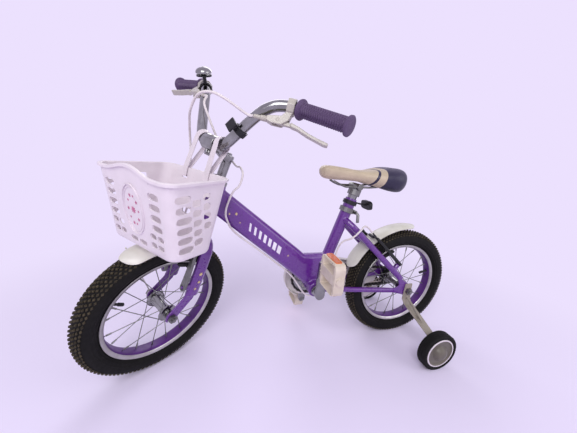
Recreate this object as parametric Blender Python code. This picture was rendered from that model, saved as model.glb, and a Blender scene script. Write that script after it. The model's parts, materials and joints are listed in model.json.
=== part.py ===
"""A child's 14 inch bicycle with a perforated basket, V-brakes, a chain guard and training wheels.

Units are metres. +X is forwards, +Y is the rider's left and +Z is up. The origin is on the ground
under the rear axle. The bike stands on both training wheels with its front end steered to the left.
"""

import math

import bmesh
import bpy
from mathutils import Matrix, Quaternion, Vector, geometry

for leftover in list(bpy.data.objects):
    bpy.data.objects.remove(leftover, do_unlink=True)

GAP = 0.0003  # clearance between two pieces that sit face to face
RUNNING_GAP = 0.0008  # clearance round a pin or an axle

# Wheels
TYRE_RADIUS = 0.177
TYRE_HALF_WIDTH = 0.0258
TYRE_TREAD_HALF_WIDTH = 0.0105
WHEEL_FACETS = 22
RIM_RADIUS = 0.1339
RIM_HALF_WIDTH = 0.0175
RIM_WALL = 0.0020
RIM_DEPTH = 0.0100
RIM_CHANNEL_DEPTH = 0.0060
SPOKE_COUNT = 20
SPOKE_RADIUS = 0.0011
HUB_FLANGE_RADIUS = 0.0215
HUB_FLANGE_THICKNESS = 0.0056
HUB_BARREL_RADIUS = 0.0135
AXLE_RADIUS = 0.0048
AXLE_NUT_RADIUS = 0.0092
FRONT_FLANGE_SIDE = 0.0300
REAR_LEFT_FLANGE_SIDE = 0.0300
REAR_RIGHT_FLANGE_SIDE = 0.0260
HUB_END_SIDE = 0.0360
HUB_RIGHT_END = 0.0340

# Frame
BB_X = 0.297
BB_RISE = 0.013
BB_SHELL_RADIUS = 0.0215
BB_HALF_WIDTH = 0.0340
SEAT_TUBE_SETBACK = 0.011
SEAT_TUBE_ANGLE = math.radians(72.7)
SEAT_TUBE_LENGTH = 0.2744
SEAT_TUBE_RADIUS = 0.0160
STAY_TOP_DROP = 0.0624
SEATPOST_RADIUS = 0.0127
HEAD_FOOT_X = 0.6714
HEAD_ANGLE = math.radians(70.83)
CROWN_CLEARANCE = 0.0130
CROWN_ALONG = TYRE_RADIUS + CROWN_CLEARANCE
LOWER_CUP_ROOM = 0.0186
HEAD_TUBE_START = CROWN_ALONG + LOWER_CUP_ROOM
HEAD_TUBE_LENGTH = 0.1100
HEAD_BORE = 0.0154
HEAD_TUBE_RADIUS = 0.0190
STEERER_RADIUS = 0.0143
STEERER_BORE = 0.0116
STEERER_SIDES = 16
MAIN_TUBE_HALF_WIDTH = 0.0185
MAIN_TUBE_HEAD_HEIGHT = 0.0665
CHAIN_STAY_RADIUS = 0.0080
CHAIN_STAY_START = 0.0245
BRIDGE_RADIUS = 0.0050
SEAT_STAY_RADIUS = 0.0095
DROPOUT_SIDE = 0.0560
DROPOUT_THICKNESS = 0.0040

# Steering and fork
STEER_ANGLE = math.radians(37.1)
FORK_RAKE = 0.0333
BLADE_SIDE = 0.0470
BLADE_HALF_DEPTH = 0.0170
BLADE_HALF_THICKNESS = 0.0085
FORK_TAB_SIDE = 0.0485
FORK_TAB_THICKNESS = 0.0050

# Brakes, in the side, along and out directions of a fork or a pair of stays
BOSS_ALONG = 0.0675
BOSS_SIDE = 0.0450
ARM_OUT = 0.0283
ARM_THICKNESS = 0.0080
ARM_LENGTH = 0.1205
ARM_INNER_INSET = 0.0072
REAR_BOSS_ALONG = 0.0775
INLET_SIDE = 0.0420
INLET_RISE = 0.0270
BOOT_LENGTH = 0.0280
PAD_BELOW_RIM = 0.0064
BOSS_PIN_RADIUS = 0.0040
PAD_GAP = 0.0025
PAD_THICKNESS = 0.0085
PAD_HEIGHT = 0.0078
PAD_LENGTH = 0.0380
CABLE_RADIUS = 0.0025
CABLE_STEP = 0.0240
CABLE_START = 0.0010

# Handlebar, stem and saddle
BAR_RADIUS = 0.0111
BAR_CLAMP_RISE = 0.1930
BAR_CLAMP_ALONG = HEAD_TUBE_START + BAR_CLAMP_RISE
BAR_CLAMP_OUT = 0.0546
STEM_TOP_RISE = 0.1834
STEM_TOP_ALONG = HEAD_TUBE_START + STEM_TOP_RISE
QUILL_RADIUS = 0.0111
QUILL_LENGTH = 0.1270
DRUM_RADIUS = 0.0170
DRUM_HALF_WIDTH = 0.0205
BAR_HALF_WIDTH = 0.2670
CUP_RADIUS = 0.0200
CUP_HEIGHT = 0.0080
LOCKNUT_HEIGHT = 0.0200
GRIP_START = 0.1600
GRIP_RADIUS = 0.0142
GRIP_FLANGE_RADIUS = 0.0195
LEVER_SIDE = 0.1430
LEFT_LEVER_TURN = math.radians(14)
RIGHT_LEVER_TURN = math.radians(42)
LEFT_LEVER_STRAIGHTENING = -0.5
RIGHT_LEVER_STRAIGHTENING = 0.5
LEVER_CHEEK = 0.0080
LEVER_SLOT = 0.0042
LEVER_PIVOT = Vector((-0.0180, 0.0330, 0.0))
BARREL_TIP = Vector((-0.0660, 0.0335, 0.0))
BELL_SIDE = 0.1210
BELL_RADIUS = 0.0185
BELL_HEIGHT = 0.0135
BELL_BASE_TOP = 0.0305
BRACKET_SIDE = 0.0650
POST_SHOWN = 0.0256
POST_TOP_ALONG = SEAT_TUBE_LENGTH + POST_SHOWN
POST_INSERT = 0.0900
POST_TRAVEL = 0.0400
POST_CLEARANCE = 0.0005
SEAT_CLAMP_DROP = 0.0344
SEAT_CLAMP_ALONG = SEAT_TUBE_LENGTH - SEAT_CLAMP_DROP
REFLECTOR_DROP = 0.0124
REFLECTOR_ALONG = SEAT_TUBE_LENGTH - REFLECTOR_DROP
REFLECTOR_REACH = 0.0560
REFLECTOR_RISE = -0.0070
SADDLE_LENGTH = 0.2450
SADDLE_HALF_WIDTH = 0.0620
SADDLE_NOSE_REACH = 0.1110
SADDLE_RISE = 0.0250

# Drive train
CHAIN_PITCH = 0.0127
CHAINRING_TEETH = 24
SPROCKET_TEETH = 14
CHAIN_RUNG_HALF = 0.0028
CHAIN_BAND = 0.0013
CHAIN_SIDE = -0.0410
CHAIN_HALF_WIDTH = 0.0042
CHAIN_HALF_HEIGHT = 0.0040
CRANK_LENGTH = 0.0920
CRANK_AXLE_RADIUS = 0.0080
LEFT_ARM_SIDE = 0.0600
RIGHT_ARM_SIDE = -0.0725
ARM_PLATE = 0.0110
PEDAL_WIDTH = 0.0820
PEDAL_HALF_LENGTH = 0.0420
PEDAL_HALF_THICKNESS = 0.0135
PEDAL_WALL = 0.0060
PEDAL_BARREL = 0.0105
PEDAL_COLLAR = 0.0075
PEDAL_SPINDLE_RADIUS = 0.0060
PEDAL_SHAFT_RADIUS = 0.0045
GUARD_FRONT_RADIUS = 0.0700
GUARD_REAR_RADIUS = 0.0420
GUARD_REAR_X = 0.0620
GUARD_BOSS_X = (0.1000, 0.1700)
GUARD_SIDE = -0.0635
GUARD_WALL = 0.0020
GUARD_SKIRT = 0.0150

# Fenders
FENDER_WALL = 0.0016
FENDER_HALF_WIDTH = 0.0270
FRONT_FENDER_CLEARANCE = 0.0097
REAR_FENDER_CLEARANCE = 0.0195
REAR_FENDER_ARC = (math.radians(19.5), math.radians(97.0))
FRONT_FENDER_ARC = (math.radians(65.0), math.radians(121.0))
FENDER_CROWN = 0.0075

# Basket
BASKET_DEPTH = 0.1480
BASKET_HALF_WIDTH = 0.1040
BASKET_REAR_HALF_WIDTH = 0.0960
BASKET_HEIGHT = 0.1440
BASKET_FLOOR_DEPTH = 0.0900
BASKET_FLOOR_HALF_WIDTH = 0.0970
BASKET_FLOOR_SHIFT = 0.0360
BASKET_WALL = 0.0026
BASKET_RIM = 0.0060
BASKET_HUMP = 0.0130
BASKET_CORNER = 0.0220
BASKET_FLOOR_CLEARANCE = 0.0128
BASKET_FLOOR_ALONG = TYRE_RADIUS + BASKET_FLOOR_CLEARANCE
BASKET_ALONG = BASKET_FLOOR_ALONG + BASKET_HEIGHT
BASKET_OUT = 0.0632
BASKET_SIDE = -0.0020
BASKET_YAW = math.radians(8.2)
BASKET_PITCH = math.radians(-5.8)
BASKET_ROLL = math.radians(5.8)
BASKET_HOLE_ROWS = 6
BASKET_HOLE_START = 0.1500
BASKET_HOLE_STEP = 0.1340
BADGE_SHARE = 0.5400
BADGE_HALF_WIDTH = 0.0300
BADGE_HALF_HEIGHT = 0.0480
STRAP_SIDE = 0.0330
STRAP_TILT = math.radians(15)
STRAP_WIDTH = 0.0140
STRAP_THICKNESS = 0.0015
STRAP_CLEARANCE = 0.0048
STRAP_SLOT_DROP = 0.0160
STRAP_SLOT_HEIGHT = 0.0090

# Training wheels
TRAINER_RADIUS = 0.0560
TRAINER_HALF_WIDTH = 0.0150
TRAINER_X = -0.0276
TRAINER_SIDE = 0.1776
TRAINER_HUB_RADIUS = 0.0440
TRAINER_HUB_INNER = 0.0150
TRAINER_BORE_END = 0.0180
BRACKET_PLATE = 0.0040
TRAINER_FACETS = 14
TRAINER_AXLE_RADIUS = 0.0050

# Places on the frame that everything else is measured from
SIDE = Vector((0.0, 1.0, 0.0))
AXLE = Vector((0.0, 0.0, TYRE_RADIUS))
BB = Vector((BB_X, 0.0, TYRE_RADIUS + BB_RISE))
HEAD_FOOT = Vector((HEAD_FOOT_X, 0.0, TYRE_RADIUS))
HEAD_UP = Vector((-math.cos(HEAD_ANGLE), 0.0, math.sin(HEAD_ANGLE)))
HEAD_OUT = Vector((math.sin(HEAD_ANGLE), 0.0, math.cos(HEAD_ANGLE)))
SEAT_FOOT = BB + Vector((-SEAT_TUBE_SETBACK, 0.0, 0.0))
SEAT_UP = Vector((-math.cos(SEAT_TUBE_ANGLE), 0.0, math.sin(SEAT_TUBE_ANGLE)))
STAY_TOP_ALONG = SEAT_TUBE_LENGTH - STAY_TOP_DROP
STAY_TOP = SEAT_FOOT + SEAT_UP * STAY_TOP_ALONG
STAY_FOOT = Vector((0.0, 0.0, TYRE_RADIUS + 0.013))


def on_head(along, out, side=0.0):
    """A point of the steered parts, measured up and out from the foot of the steering axis."""
    return HEAD_FOOT + HEAD_UP * along + HEAD_OUT * out + SIDE * side


def on_seat_tube(along, side=0.0):
    return SEAT_FOOT + SEAT_UP * along + SIDE * side


def linear(hex_colour):
    """A written sRGB colour as linear red, green, blue and alpha."""
    parts = [int(hex_colour[i : i + 2], 16) / 255 for i in (0, 2, 4)]
    return [p / 12.92 if p <= 0.04045 else ((p + 0.055) / 1.055) ** 2.4 for p in parts] + [1.0]


def finish(name, hex_colour, roughness, metallic=0.0):
    made = bpy.data.materials.new(name)
    made.use_nodes = True
    shader = made.node_tree.nodes["Principled BSDF"]
    shader.inputs["Base Color"].default_value = linear(hex_colour)
    shader.inputs["Roughness"].default_value = roughness
    shader.inputs["Metallic"].default_value = metallic
    return made


PURPLE_PAINT = finish("purple_paint", "5B2A9C", 0.30)
PURPLE_RUBBER = finish("purple_rubber", "4A2C78", 0.60)
PURPLE_VINYL = finish("purple_vinyl", "33285E", 0.45)
WHITE_PLASTIC = finish("white_plastic", "E9E6F0", 0.40)
BLACK_PLASTIC = finish("black_plastic", "17171A", 0.45)
BLACK_RUBBER = finish("black_rubber", "1B1B1C", 0.80)
CHROME = finish("chrome", "C9CBD0", 0.15, 1.0)
ALUMINIUM = finish("aluminium", "A9ACB2", 0.35, 1.0)
BLACK_STEEL = finish("black_steel", "202024", 0.40, 0.8)
ORANGE_REFLECTOR = finish("orange_reflector", "D9642A", 0.25)


def ring_faces(bm, first, second):
    """The quads, or triangles at a point, between two rings of vertices."""
    count = max(len(first), len(second))
    for i in range(count):
        j = (i + 1) % count
        corners = [first[i % len(first)], first[j % len(first)], second[j % len(second)], second[i % len(second)]]
        bm.faces.new(list(dict.fromkeys(corners)))


def skin(rings, looped=False):
    """A closed surface through rings of points; a ring of one point is a tip."""
    bm = bmesh.new()
    made = [[bm.verts.new(point) for point in ring] for ring in rings]
    for first, second in zip(made, made[1:]):
        ring_faces(bm, first, second)
    if looped:
        ring_faces(bm, made[-1], made[0])
    else:
        for cap in (made[0], made[-1]):
            if len(cap) > 2:
                bm.faces.new(cap)
    bmesh.ops.recalc_face_normals(bm, faces=bm.faces)
    return bm


def across(axis):
    """Two directions at right angles to an axis, the first as near to straight down as it can be."""
    axis = axis.normalized()
    down = Vector((0.0, 0.0, -1.0))
    if abs(axis.dot(down)) > 0.95:
        down = Vector((1.0, 0.0, 0.0))
    first = (down - axis * down.dot(axis)).normalized()
    return first, axis.cross(first)


def turned(profile, centre, axis=SIDE, sides=16, zero=None, hollow=False):
    """A profile of (radius, place along the axis) turned round it.

    Radii reach the middle of a facet, so that pieces with one number of sides nest at any size.
    """
    axis = axis.normalized()
    first, second = across(axis)
    if zero is not None:
        first = (zero - axis * zero.dot(axis)).normalized()
        second = axis.cross(first)
    step = 2 * math.pi / sides
    stretch = 1 / math.cos(step / 2)
    rings = []
    for radius, place in profile:
        middle = centre + axis * place
        if radius == 0:
            rings.append([middle])
            continue
        turns = [(k + 0.5) * step for k in range(sides)]
        rings.append(
            [middle + (first * math.cos(t) + second * math.sin(t)) * radius * stretch for t in turns]
        )
    return skin(rings, looped=hollow)


def rod(start, end, radius, sides=10, zero=None):
    length = (end - start).length
    return turned([(radius, 0.0), (radius, length)], start, end - start, sides, zero)


def tube_ring(centre, axis, half_length, outer, bore, sides=16, zero=None):
    """A plain collar with a bore through it."""
    profile = [(outer, -half_length), (outer, half_length), (bore, half_length), (bore, -half_length)]
    return turned(profile, centre, axis, sides, zero, hollow=True)


def ellipse(half_width, half_height, sides, power=2.0):
    """Corners of an ellipse, or with a larger power of a rounded box."""
    corners = []
    for k in range(sides):
        turn = 2 * math.pi * (k + 0.5) / sides
        c, s = math.cos(turn), math.sin(turn)
        corners.append(
            (
                math.copysign(abs(c) ** (2 / power), c) * half_width,
                math.copysign(abs(s) ** (2 / power), s) * half_height,
            )
        )
    return corners


def box_section(half_width, half_height):
    return [(-half_width, -half_height), (half_width, -half_height), (half_width, half_height), (-half_width, half_height)]


def tangents(path, looped=False):
    count = len(path)
    found = []
    for i in range(count):
        before = path[i - 1] if i > 0 or looped else path[i]
        after = path[(i + 1) % count] if i < count - 1 or looped else path[i]
        found.append((after - before).normalized())
    return found


def sweep(path, sections, width_way, looped=False):
    """Sections of (width, height) corners carried along a path; the width way stays as given."""
    if not isinstance(sections[0][0], (tuple, list)):
        sections = [sections] * len(path)
    rings = []
    for point, way, section in zip(path, tangents(path, looped), sections):
        wide = (width_way - way * width_way.dot(way)).normalized()
        high = way.cross(wide)
        rings.append([point + wide * a + high * b for a, b in section])
    return skin(rings, looped)


def curve_through(points, steps):
    """Points of a smooth curve through the given ones, with the given number of steps between two."""
    ends = [points[0] * 2 - points[1], *points, points[-1] * 2 - points[-2]]
    found = []
    for a, b, c, d in zip(ends, ends[1:], ends[2:], ends[3:]):
        for k in range(steps):
            t = k / steps
            found.append(
                0.5 * (2 * b + (c - a) * t + (2 * a - 5 * b + 4 * c - d) * t**2 + (3 * b - a - 3 * c + d) * t**3)
            )
    found.append(points[-1].copy())
    return found


def arc(centre, radius, start, end, steps):
    """Flat points round a centre, from one angle to another."""
    return [
        (
            centre[0] + radius * math.cos(start + (end - start) * k / steps),
            centre[1] + radius * math.sin(start + (end - start) * k / steps),
        )
        for k in range(steps + 1)
    ]


def axes(origin, first, second):
    """A place whose first two axes are as given."""
    third = first.cross(second).normalized()
    placed = Matrix((first.normalized(), second.normalized(), third)).transposed().to_4x4()
    placed.translation = origin
    return placed


def plate(outline, low, high, place, holes=()):
    """A flat outline with holes, from one height to another along the third axis of its place."""
    loops = [list(outline), *[list(hole) for hole in holes]]
    flat = [point for loop in loops for point in loop]
    corners = geometry.tessellate_polygon([[Vector((x, y, 0.0)) for x, y in loop] for loop in loops])
    bm = bmesh.new()
    bottom = [bm.verts.new(place @ Vector((x, y, low))) for x, y in flat]
    top = [bm.verts.new(place @ Vector((x, y, high))) for x, y in flat]
    for triangle in corners:
        bm.faces.new([top[i] for i in triangle])
        bm.faces.new([bottom[i] for i in reversed(triangle)])
    start = 0
    for loop in loops:
        for i in range(len(loop)):
            j = start + (i + 1) % len(loop)
            bm.faces.new([bottom[start + i], bottom[j], top[j], top[start + i]])
        start += len(loop)
    bmesh.ops.recalc_face_normals(bm, faces=bm.faces)
    return bm


def block(place, half_x, half_y, half_z):
    return plate(box_section(half_x, half_y), -half_z, half_z, place)


def together(shapes):
    """Shapes that don't touch, as one mesh, for a cut or a join made in one step."""
    whole = bmesh.new()
    for shape in shapes:
        mesh = bpy.data.meshes.new("shape")
        shape.to_mesh(mesh)
        shape.free()
        whole.from_mesh(mesh)
        bpy.data.meshes.remove(mesh)
    return whole


def mirrored(bm):
    """The same shape on the other side of the bike."""
    copied = bm.copy()
    bmesh.ops.scale(copied, vec=(1.0, -1.0, 1.0), verts=copied.verts)
    bmesh.ops.reverse_faces(copied, faces=copied.faces)
    return copied


def placed_object(name, mesh, finish_used):
    mesh.materials.clear()
    mesh.materials.append(finish_used)
    mesh.shade_smooth()
    mesh.set_sharp_from_angle(angle=math.radians(32))
    made = bpy.data.objects.new(name, mesh)
    bpy.context.collection.objects.link(made)
    return made


def solid(name, bm, finish_used):
    mesh = bpy.data.meshes.new(name)
    bm.to_mesh(mesh)
    bm.free()
    return placed_object(name, mesh, finish_used)


def fused(name, shapes, finish_used, cuts=()):
    """One body from overlapping shapes, less its cuts, by Boolean unions and differences."""
    base = solid(name, shapes[0], finish_used)
    tools = []
    for operation, group in (("UNION", shapes[1:]), ("DIFFERENCE", cuts)):
        for shape in group:
            tool = solid(name + "_tool", shape, finish_used)
            tool.hide_render = True
            tool.display_type = "WIRE"
            boolean = base.modifiers.new("join", "BOOLEAN")
            boolean.operation = operation
            boolean.object = tool
            tools.append(tool)
    evaluated = base.evaluated_get(bpy.context.evaluated_depsgraph_get())
    mesh = bpy.data.meshes.new_from_object(evaluated)
    for used in [base, *tools]:
        bpy.data.objects.remove(used, do_unlink=True)
    cleaned = bmesh.new()
    cleaned.from_mesh(mesh)
    bmesh.ops.remove_doubles(cleaned, verts=cleaned.verts, dist=2e-6)
    bmesh.ops.dissolve_degenerate(cleaned, edges=cleaned.edges, dist=1e-6)
    cleaned.to_mesh(mesh)
    cleaned.free()
    mesh.name = name
    return placed_object(name, mesh, finish_used)


def joint_empty(name, place, carrier=None):
    """An empty on a joint's axis, which carries the pieces that turn or slide with it."""
    made = bpy.data.objects.new(name, None)
    made.empty_display_size = 0.03
    bpy.context.collection.objects.link(made)
    made["straight_place"] = list(place)
    if carrier is None:
        made.location = place
    else:
        made.parent = carrier
        made.location = place - Vector(carrier["straight_place"])
    return made


def hang(pieces, joint):
    """Hangs pieces, modelled where they lie with the steering straight, on a joint's empty."""
    for piece in pieces:
        piece.data.transform(Matrix.Translation(-Vector(joint["straight_place"])))
        piece.parent = joint


# Steering: the pieces in front are modelled with the wheel straight and then turned together
STEERING = Quaternion(HEAD_UP, STEER_ANGLE)
DOWN_WHEN_STEERED = STEERING.inverted() @ Vector((0.0, 0.0, -1.0))


def tyre_profile():
    """Half of the tyre's section as (radius, side), from its bead to its tread."""
    depth = TYRE_RADIUS - RIM_RADIUS
    return [
        (RIM_RADIUS - RIM_CHANNEL_DEPTH + GAP, RIM_HALF_WIDTH - RIM_WALL - 0.0010),
        (RIM_RADIUS + 0.025 * depth, RIM_HALF_WIDTH - RIM_WALL - 0.0004),
        (RIM_RADIUS + 0.235 * depth, TYRE_HALF_WIDTH - 0.0003),
        (RIM_RADIUS + 0.63 * depth, TYRE_HALF_WIDTH - 0.0008),
        (TYRE_RADIUS, TYRE_TREAD_HALF_WIDTH),
    ]


def lowest_of_steered_tyre():
    """How high the steered front tyre hangs with its axle level with the foot of the steering axis."""
    lowest = 1.0
    across_wheel = STEERING @ SIDE
    centre = HEAD_FOOT + STEERING @ (HEAD_OUT * FORK_RAKE)
    down = (Vector((0.0, 0.0, -1.0)) - across_wheel * -across_wheel.z).normalized()
    half_step = math.pi / WHEEL_FACETS
    for turn in (-half_step, half_step):
        way = Quaternion(across_wheel, turn) @ down
        for radius, side in tyre_profile():
            for sign in (-1, 1):
                point = centre + way * (radius / math.cos(half_step)) + across_wheel * (side * sign)
                lowest = min(lowest, point.z)
    return lowest


FRONT_AXLE_ALONG = -lowest_of_steered_tyre() / HEAD_UP.z
FRONT_AXLE = on_head(FRONT_AXLE_ALONG, FORK_RAKE)

# The pair of seat stays, with their own up and out directions
STAY_LENGTH = (STAY_TOP - STAY_FOOT).length
STAY_UP = (STAY_TOP - STAY_FOOT).normalized()
STAY_OUT = Vector((-STAY_UP.z, 0.0, STAY_UP.x))


def on_stay(along, out=0.0, side=0.0):
    return STAY_FOOT + STAY_UP * along + STAY_OUT * out + SIDE * side


REAR_FENDER_RADIUS = TYRE_RADIUS + REAR_FENDER_CLEARANCE
FRONT_FENDER_RADIUS = TYRE_RADIUS + FRONT_FENDER_CLEARANCE
SLOT_HALF_WIDTH = AXLE_RADIUS + RUNNING_GAP


def main_tube():
    """The deep main tube: level over the bottom bracket, then straight up to the head tube."""
    top = HEAD_TUBE_START + HEAD_TUBE_LENGTH - 0.0020
    stations = [
        (on_seat_tube(0.1045), on_seat_tube(0.0080), 0.0150),
        (BB + Vector((0.0150, 0.0, 0.0995)), BB + Vector((0.0255, 0.0, 0.0060)), MAIN_TUBE_HALF_WIDTH),
        (BB + Vector((0.0345, 0.0, 0.0995)), BB + Vector((0.0590, 0.0, 0.0348)), MAIN_TUBE_HALF_WIDTH),
        (BB + Vector((0.0516, 0.0, 0.1142)), BB + Vector((0.0940, 0.0, 0.0648)), MAIN_TUBE_HALF_WIDTH),
        (on_head(top, -0.0040), on_head(top - MAIN_TUBE_HEAD_HEIGHT, -0.0040), MAIN_TUBE_HALF_WIDTH - 0.0025),
    ]
    rings = []
    for upper, lower, half_width in stations:
        middle = (upper + lower) / 2
        half_height = (upper - lower) / 2
        rings.append([middle + SIDE * a + half_height * b for a, b in ellipse(half_width, 1.0, 12, 2.8)])
    return skin(rings)


def dropout_outline():
    """A rear dropout, measured forwards and up from the axle, with its slot open to the rear."""
    slot = arc((0.0, 0.0), SLOT_HALF_WIDTH, -math.pi / 2, math.pi / 2, 6)
    return [
        (-0.0180, -SLOT_HALF_WIDTH),
        *slot,
        (-0.0180, SLOT_HALF_WIDTH),
        (-0.0150, 0.0140),
        (0.0060, 0.0260),
        (0.0330, 0.0440),
        (0.0400, 0.0380),
        (0.0320, 0.0180),
        (0.0520, 0.0080),
        (0.0520, -0.0040),
        (0.0100, -0.0150),
        (-0.0140, -0.0130),
    ]


def stay_side(along):
    """How far out a seat stay's middle lies at a place along it."""
    share = (along - 0.0340) / (STAY_LENGTH - 0.0330 - 0.0340)
    return 0.0530 + (0.0355 - 0.0530) * share


def seat_stay():
    shoulder = STAY_LENGTH - 0.0330
    path = [
        on_stay(STAY_LENGTH + 0.0010, 0.0, 0.0060),
        on_stay(STAY_LENGTH - 0.0080, 0.0, 0.0230),
        on_stay(shoulder + 0.0100, 0.0, 0.0330),
        on_stay(shoulder, 0.0, stay_side(shoulder)),
        on_stay(0.0750, 0.0, stay_side(0.0750)),
        on_stay(0.0500, 0.0, 0.0540),
        on_stay(0.0360, 0.0, DROPOUT_SIDE - 0.0002),
    ]
    r = SEAT_STAY_RADIUS
    sections = [ellipse(r, r, 8)] * 5 + [ellipse(0.0055, r, 8), ellipse(0.0017, r, 8)]
    return sweep(path, sections, SIDE)


def chain_stay():
    foot = AXLE + Vector((0.0300, DROPOUT_SIDE - 0.0002, 0.0010))
    start = BB + Vector((-0.0070, CHAIN_STAY_START, -0.0030))
    path = [
        start,
        start.lerp(foot, 0.80) - SIDE * 0.0010,
        start.lerp(foot, 0.92) - SIDE * 0.0005,
        foot,
    ]
    r = CHAIN_STAY_RADIUS
    sections = [ellipse(r, r, 8)] * 2 + [ellipse(0.0050, r, 8), ellipse(0.0017, r, 8)]
    return sweep(path, sections, SIDE)


def boss(place, out_way, shoulder, pin):
    """A brake boss: a round shoulder with a thinner pin that the brake arm turns on."""
    profile = [(BOSS_PIN_RADIUS + 0.0030, 0.0), (BOSS_PIN_RADIUS + 0.0030, shoulder)]
    profile += [(BOSS_PIN_RADIUS, shoulder), (BOSS_PIN_RADIUS, pin)]
    return turned(profile, place, out_way, 8)


def build_frame():
    seat_top = SEAT_TUBE_LENGTH
    head_middle = on_head(HEAD_TUBE_START + HEAD_TUBE_LENGTH / 2, 0.0)
    head_half = HEAD_TUBE_LENGTH / 2
    shoulder = ARM_OUT - ARM_THICKNESS / 2 - GAP
    pin = ARM_OUT + ARM_THICKNESS / 2 + 0.0012
    bridge_radius = REAR_FENDER_RADIUS + FENDER_WALL + GAP + BRIDGE_RADIUS
    axle_along = (AXLE - STAY_FOOT).dot(STAY_UP)
    axle_out = (AXLE - STAY_FOOT).dot(STAY_OUT)
    bridge_along = axle_along + math.sqrt(bridge_radius**2 - axle_out**2)
    bridge_side = stay_side(bridge_along)
    head_profile = [
        (HEAD_TUBE_RADIUS + 0.0012, -head_half),
        (HEAD_TUBE_RADIUS + 0.0012, -head_half + 0.0100),
        (HEAD_TUBE_RADIUS, -head_half + 0.0120),
        (HEAD_TUBE_RADIUS, head_half - 0.0120),
        (HEAD_TUBE_RADIUS + 0.0012, head_half - 0.0100),
        (HEAD_TUBE_RADIUS + 0.0012, head_half),
    ]
    shapes = [
        turned(head_profile, head_middle, HEAD_UP, STEERER_SIDES),
        main_tube(),
        rod(on_seat_tube(0.0), on_seat_tube(seat_top), SEAT_TUBE_RADIUS, 12),
        rod(BB - SIDE * BB_HALF_WIDTH, BB + SIDE * BB_HALF_WIDTH, BB_SHELL_RADIUS, 12),
        rod(on_stay(bridge_along, 0.0, -bridge_side), on_stay(bridge_along, 0.0, bridge_side), BRIDGE_RADIUS, 8),
    ]
    for side in (1, -1):
        rear_boss = boss(on_stay(REAR_BOSS_ALONG, 0.0, BOSS_SIDE), STAY_OUT, shoulder, pin)
        pair = [seat_stay(), chain_stay(), rear_boss]
        shapes += [shape if side > 0 else mirrored(shape) for shape in pair]
        flat = axes(AXLE + SIDE * (DROPOUT_SIDE * side), Vector((1, 0, 0)), Vector((0, 0, 1)))
        shapes.append(plate(dropout_outline(), -DROPOUT_THICKNESS / 2, DROPOUT_THICKNESS / 2, flat))
    for x in GUARD_BOSS_X:
        foot = chain_stay_point(x)
        shapes.append(rod(foot, Vector((foot.x, GUARD_SIDE + GUARD_WALL / 2 + GAP, foot.z)), 0.0050, 6))
    bore_start = POST_TOP_ALONG - POST_INSERT - POST_TRAVEL - 0.0400
    cuts = [
        rod(on_seat_tube(bore_start), on_seat_tube(seat_top + 0.02), SEATPOST_RADIUS + POST_CLEARANCE, 12),
        rod(head_middle - HEAD_UP * (head_half + 0.01), head_middle + HEAD_UP * (head_half + 0.01), HEAD_BORE, STEERER_SIDES),
        rod(BB - SIDE * 0.06, BB + SIDE * 0.06, CRANK_AXLE_RADIUS + RUNNING_GAP, 12),
        block(
            axes(on_seat_tube(seat_top) - Vector((SEAT_TUBE_RADIUS, 0.0, 0.0)), SIDE, SEAT_UP), 0.0015, 0.0260, 0.0080
        ),
    ]
    return fused("frame", shapes, PURPLE_PAINT, cuts)


def chain_stay_point(x):
    """A point of the right chain stay's middle line."""
    start = BB + Vector((-0.0070, -CHAIN_STAY_START, -0.0030))
    foot = AXLE + Vector((0.0300, -DROPOUT_SIDE, 0.0010))
    return start.lerp(foot, (start.x - x) / (start.x - foot.x))


def build_chain_guard():
    """A full-length cover: a flat teardrop with an edge turned in along its front and its top."""
    front = (BB.x, BB.z)
    rear = (GUARD_REAR_X, AXLE.z + 0.0040)
    reach = math.dist(front, rear)
    slope = math.atan2(front[1] - rear[1], front[0] - rear[0])
    lean = math.acos((GUARD_REAR_RADIUS - GUARD_FRONT_RADIUS) / reach)
    high, low = slope + lean, slope - lean
    outline = arc(front, GUARD_FRONT_RADIUS, low, high, 15)
    edge_start = 2
    inner = arc(front, GUARD_FRONT_RADIUS - GUARD_WALL, low, high, 15)[edge_start:]
    run = Vector((math.cos(high + math.pi / 2), math.sin(high + math.pi / 2))) * (0.72 * reach)
    outer = outline[edge_start:]
    outer.append((outer[-1][0] + run.x, outer[-1][1] + run.y))
    inner.append((inner[-1][0] + run.x, inner[-1][1] + run.y))
    outline.append(outer[-1])
    outline += arc(rear, GUARD_REAR_RADIUS, high, low + 2 * math.pi, 9)
    flat = axes(SIDE * GUARD_SIDE, Vector((1, 0, 0)), Vector((0, 0, 1)))
    half = GUARD_WALL / 2
    disc = plate(outline, -half, half, flat, [arc(front, 0.0140, 0.0, -2 * math.pi * 9 / 10, 9)])
    edge = plate(outer + inner[::-1], -GUARD_SKIRT, half * 0.5, flat)
    return fused("chain_guard", [disc, edge], WHITE_PLASTIC)


def fender_shell(centre, radius, start, end, steps):
    """A thin arched strip round a wheel; its radius reaches the inside of its crown."""
    arch = [(-1.0, 1.0), (-0.78, 0.42), (-0.36, 0.06), (0.36, 0.06), (0.78, 0.42), (1.0, 1.0)]
    rings = []
    for k in range(steps + 1):
        turn = start + (end - start) * k / steps
        way = Vector((math.cos(turn), 0.0, math.sin(turn)))
        inner = [centre + way * (radius - FENDER_CROWN * drop) + SIDE * (FENDER_HALF_WIDTH * a) for a, drop in arch]
        outer = [
            centre
            + way * (radius + FENDER_WALL - (FENDER_CROWN - 0.0004) * drop)
            + SIDE * ((FENDER_HALF_WIDTH + 0.0012) * a)
            for a, drop in arch
        ]
        rings.append(inner + outer[::-1])
    return skin(rings)


def build_rear_fender():
    return solid("rear_fender", fender_shell(AXLE, REAR_FENDER_RADIUS, *REAR_FENDER_ARC, 9), WHITE_PLASTIC)


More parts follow.
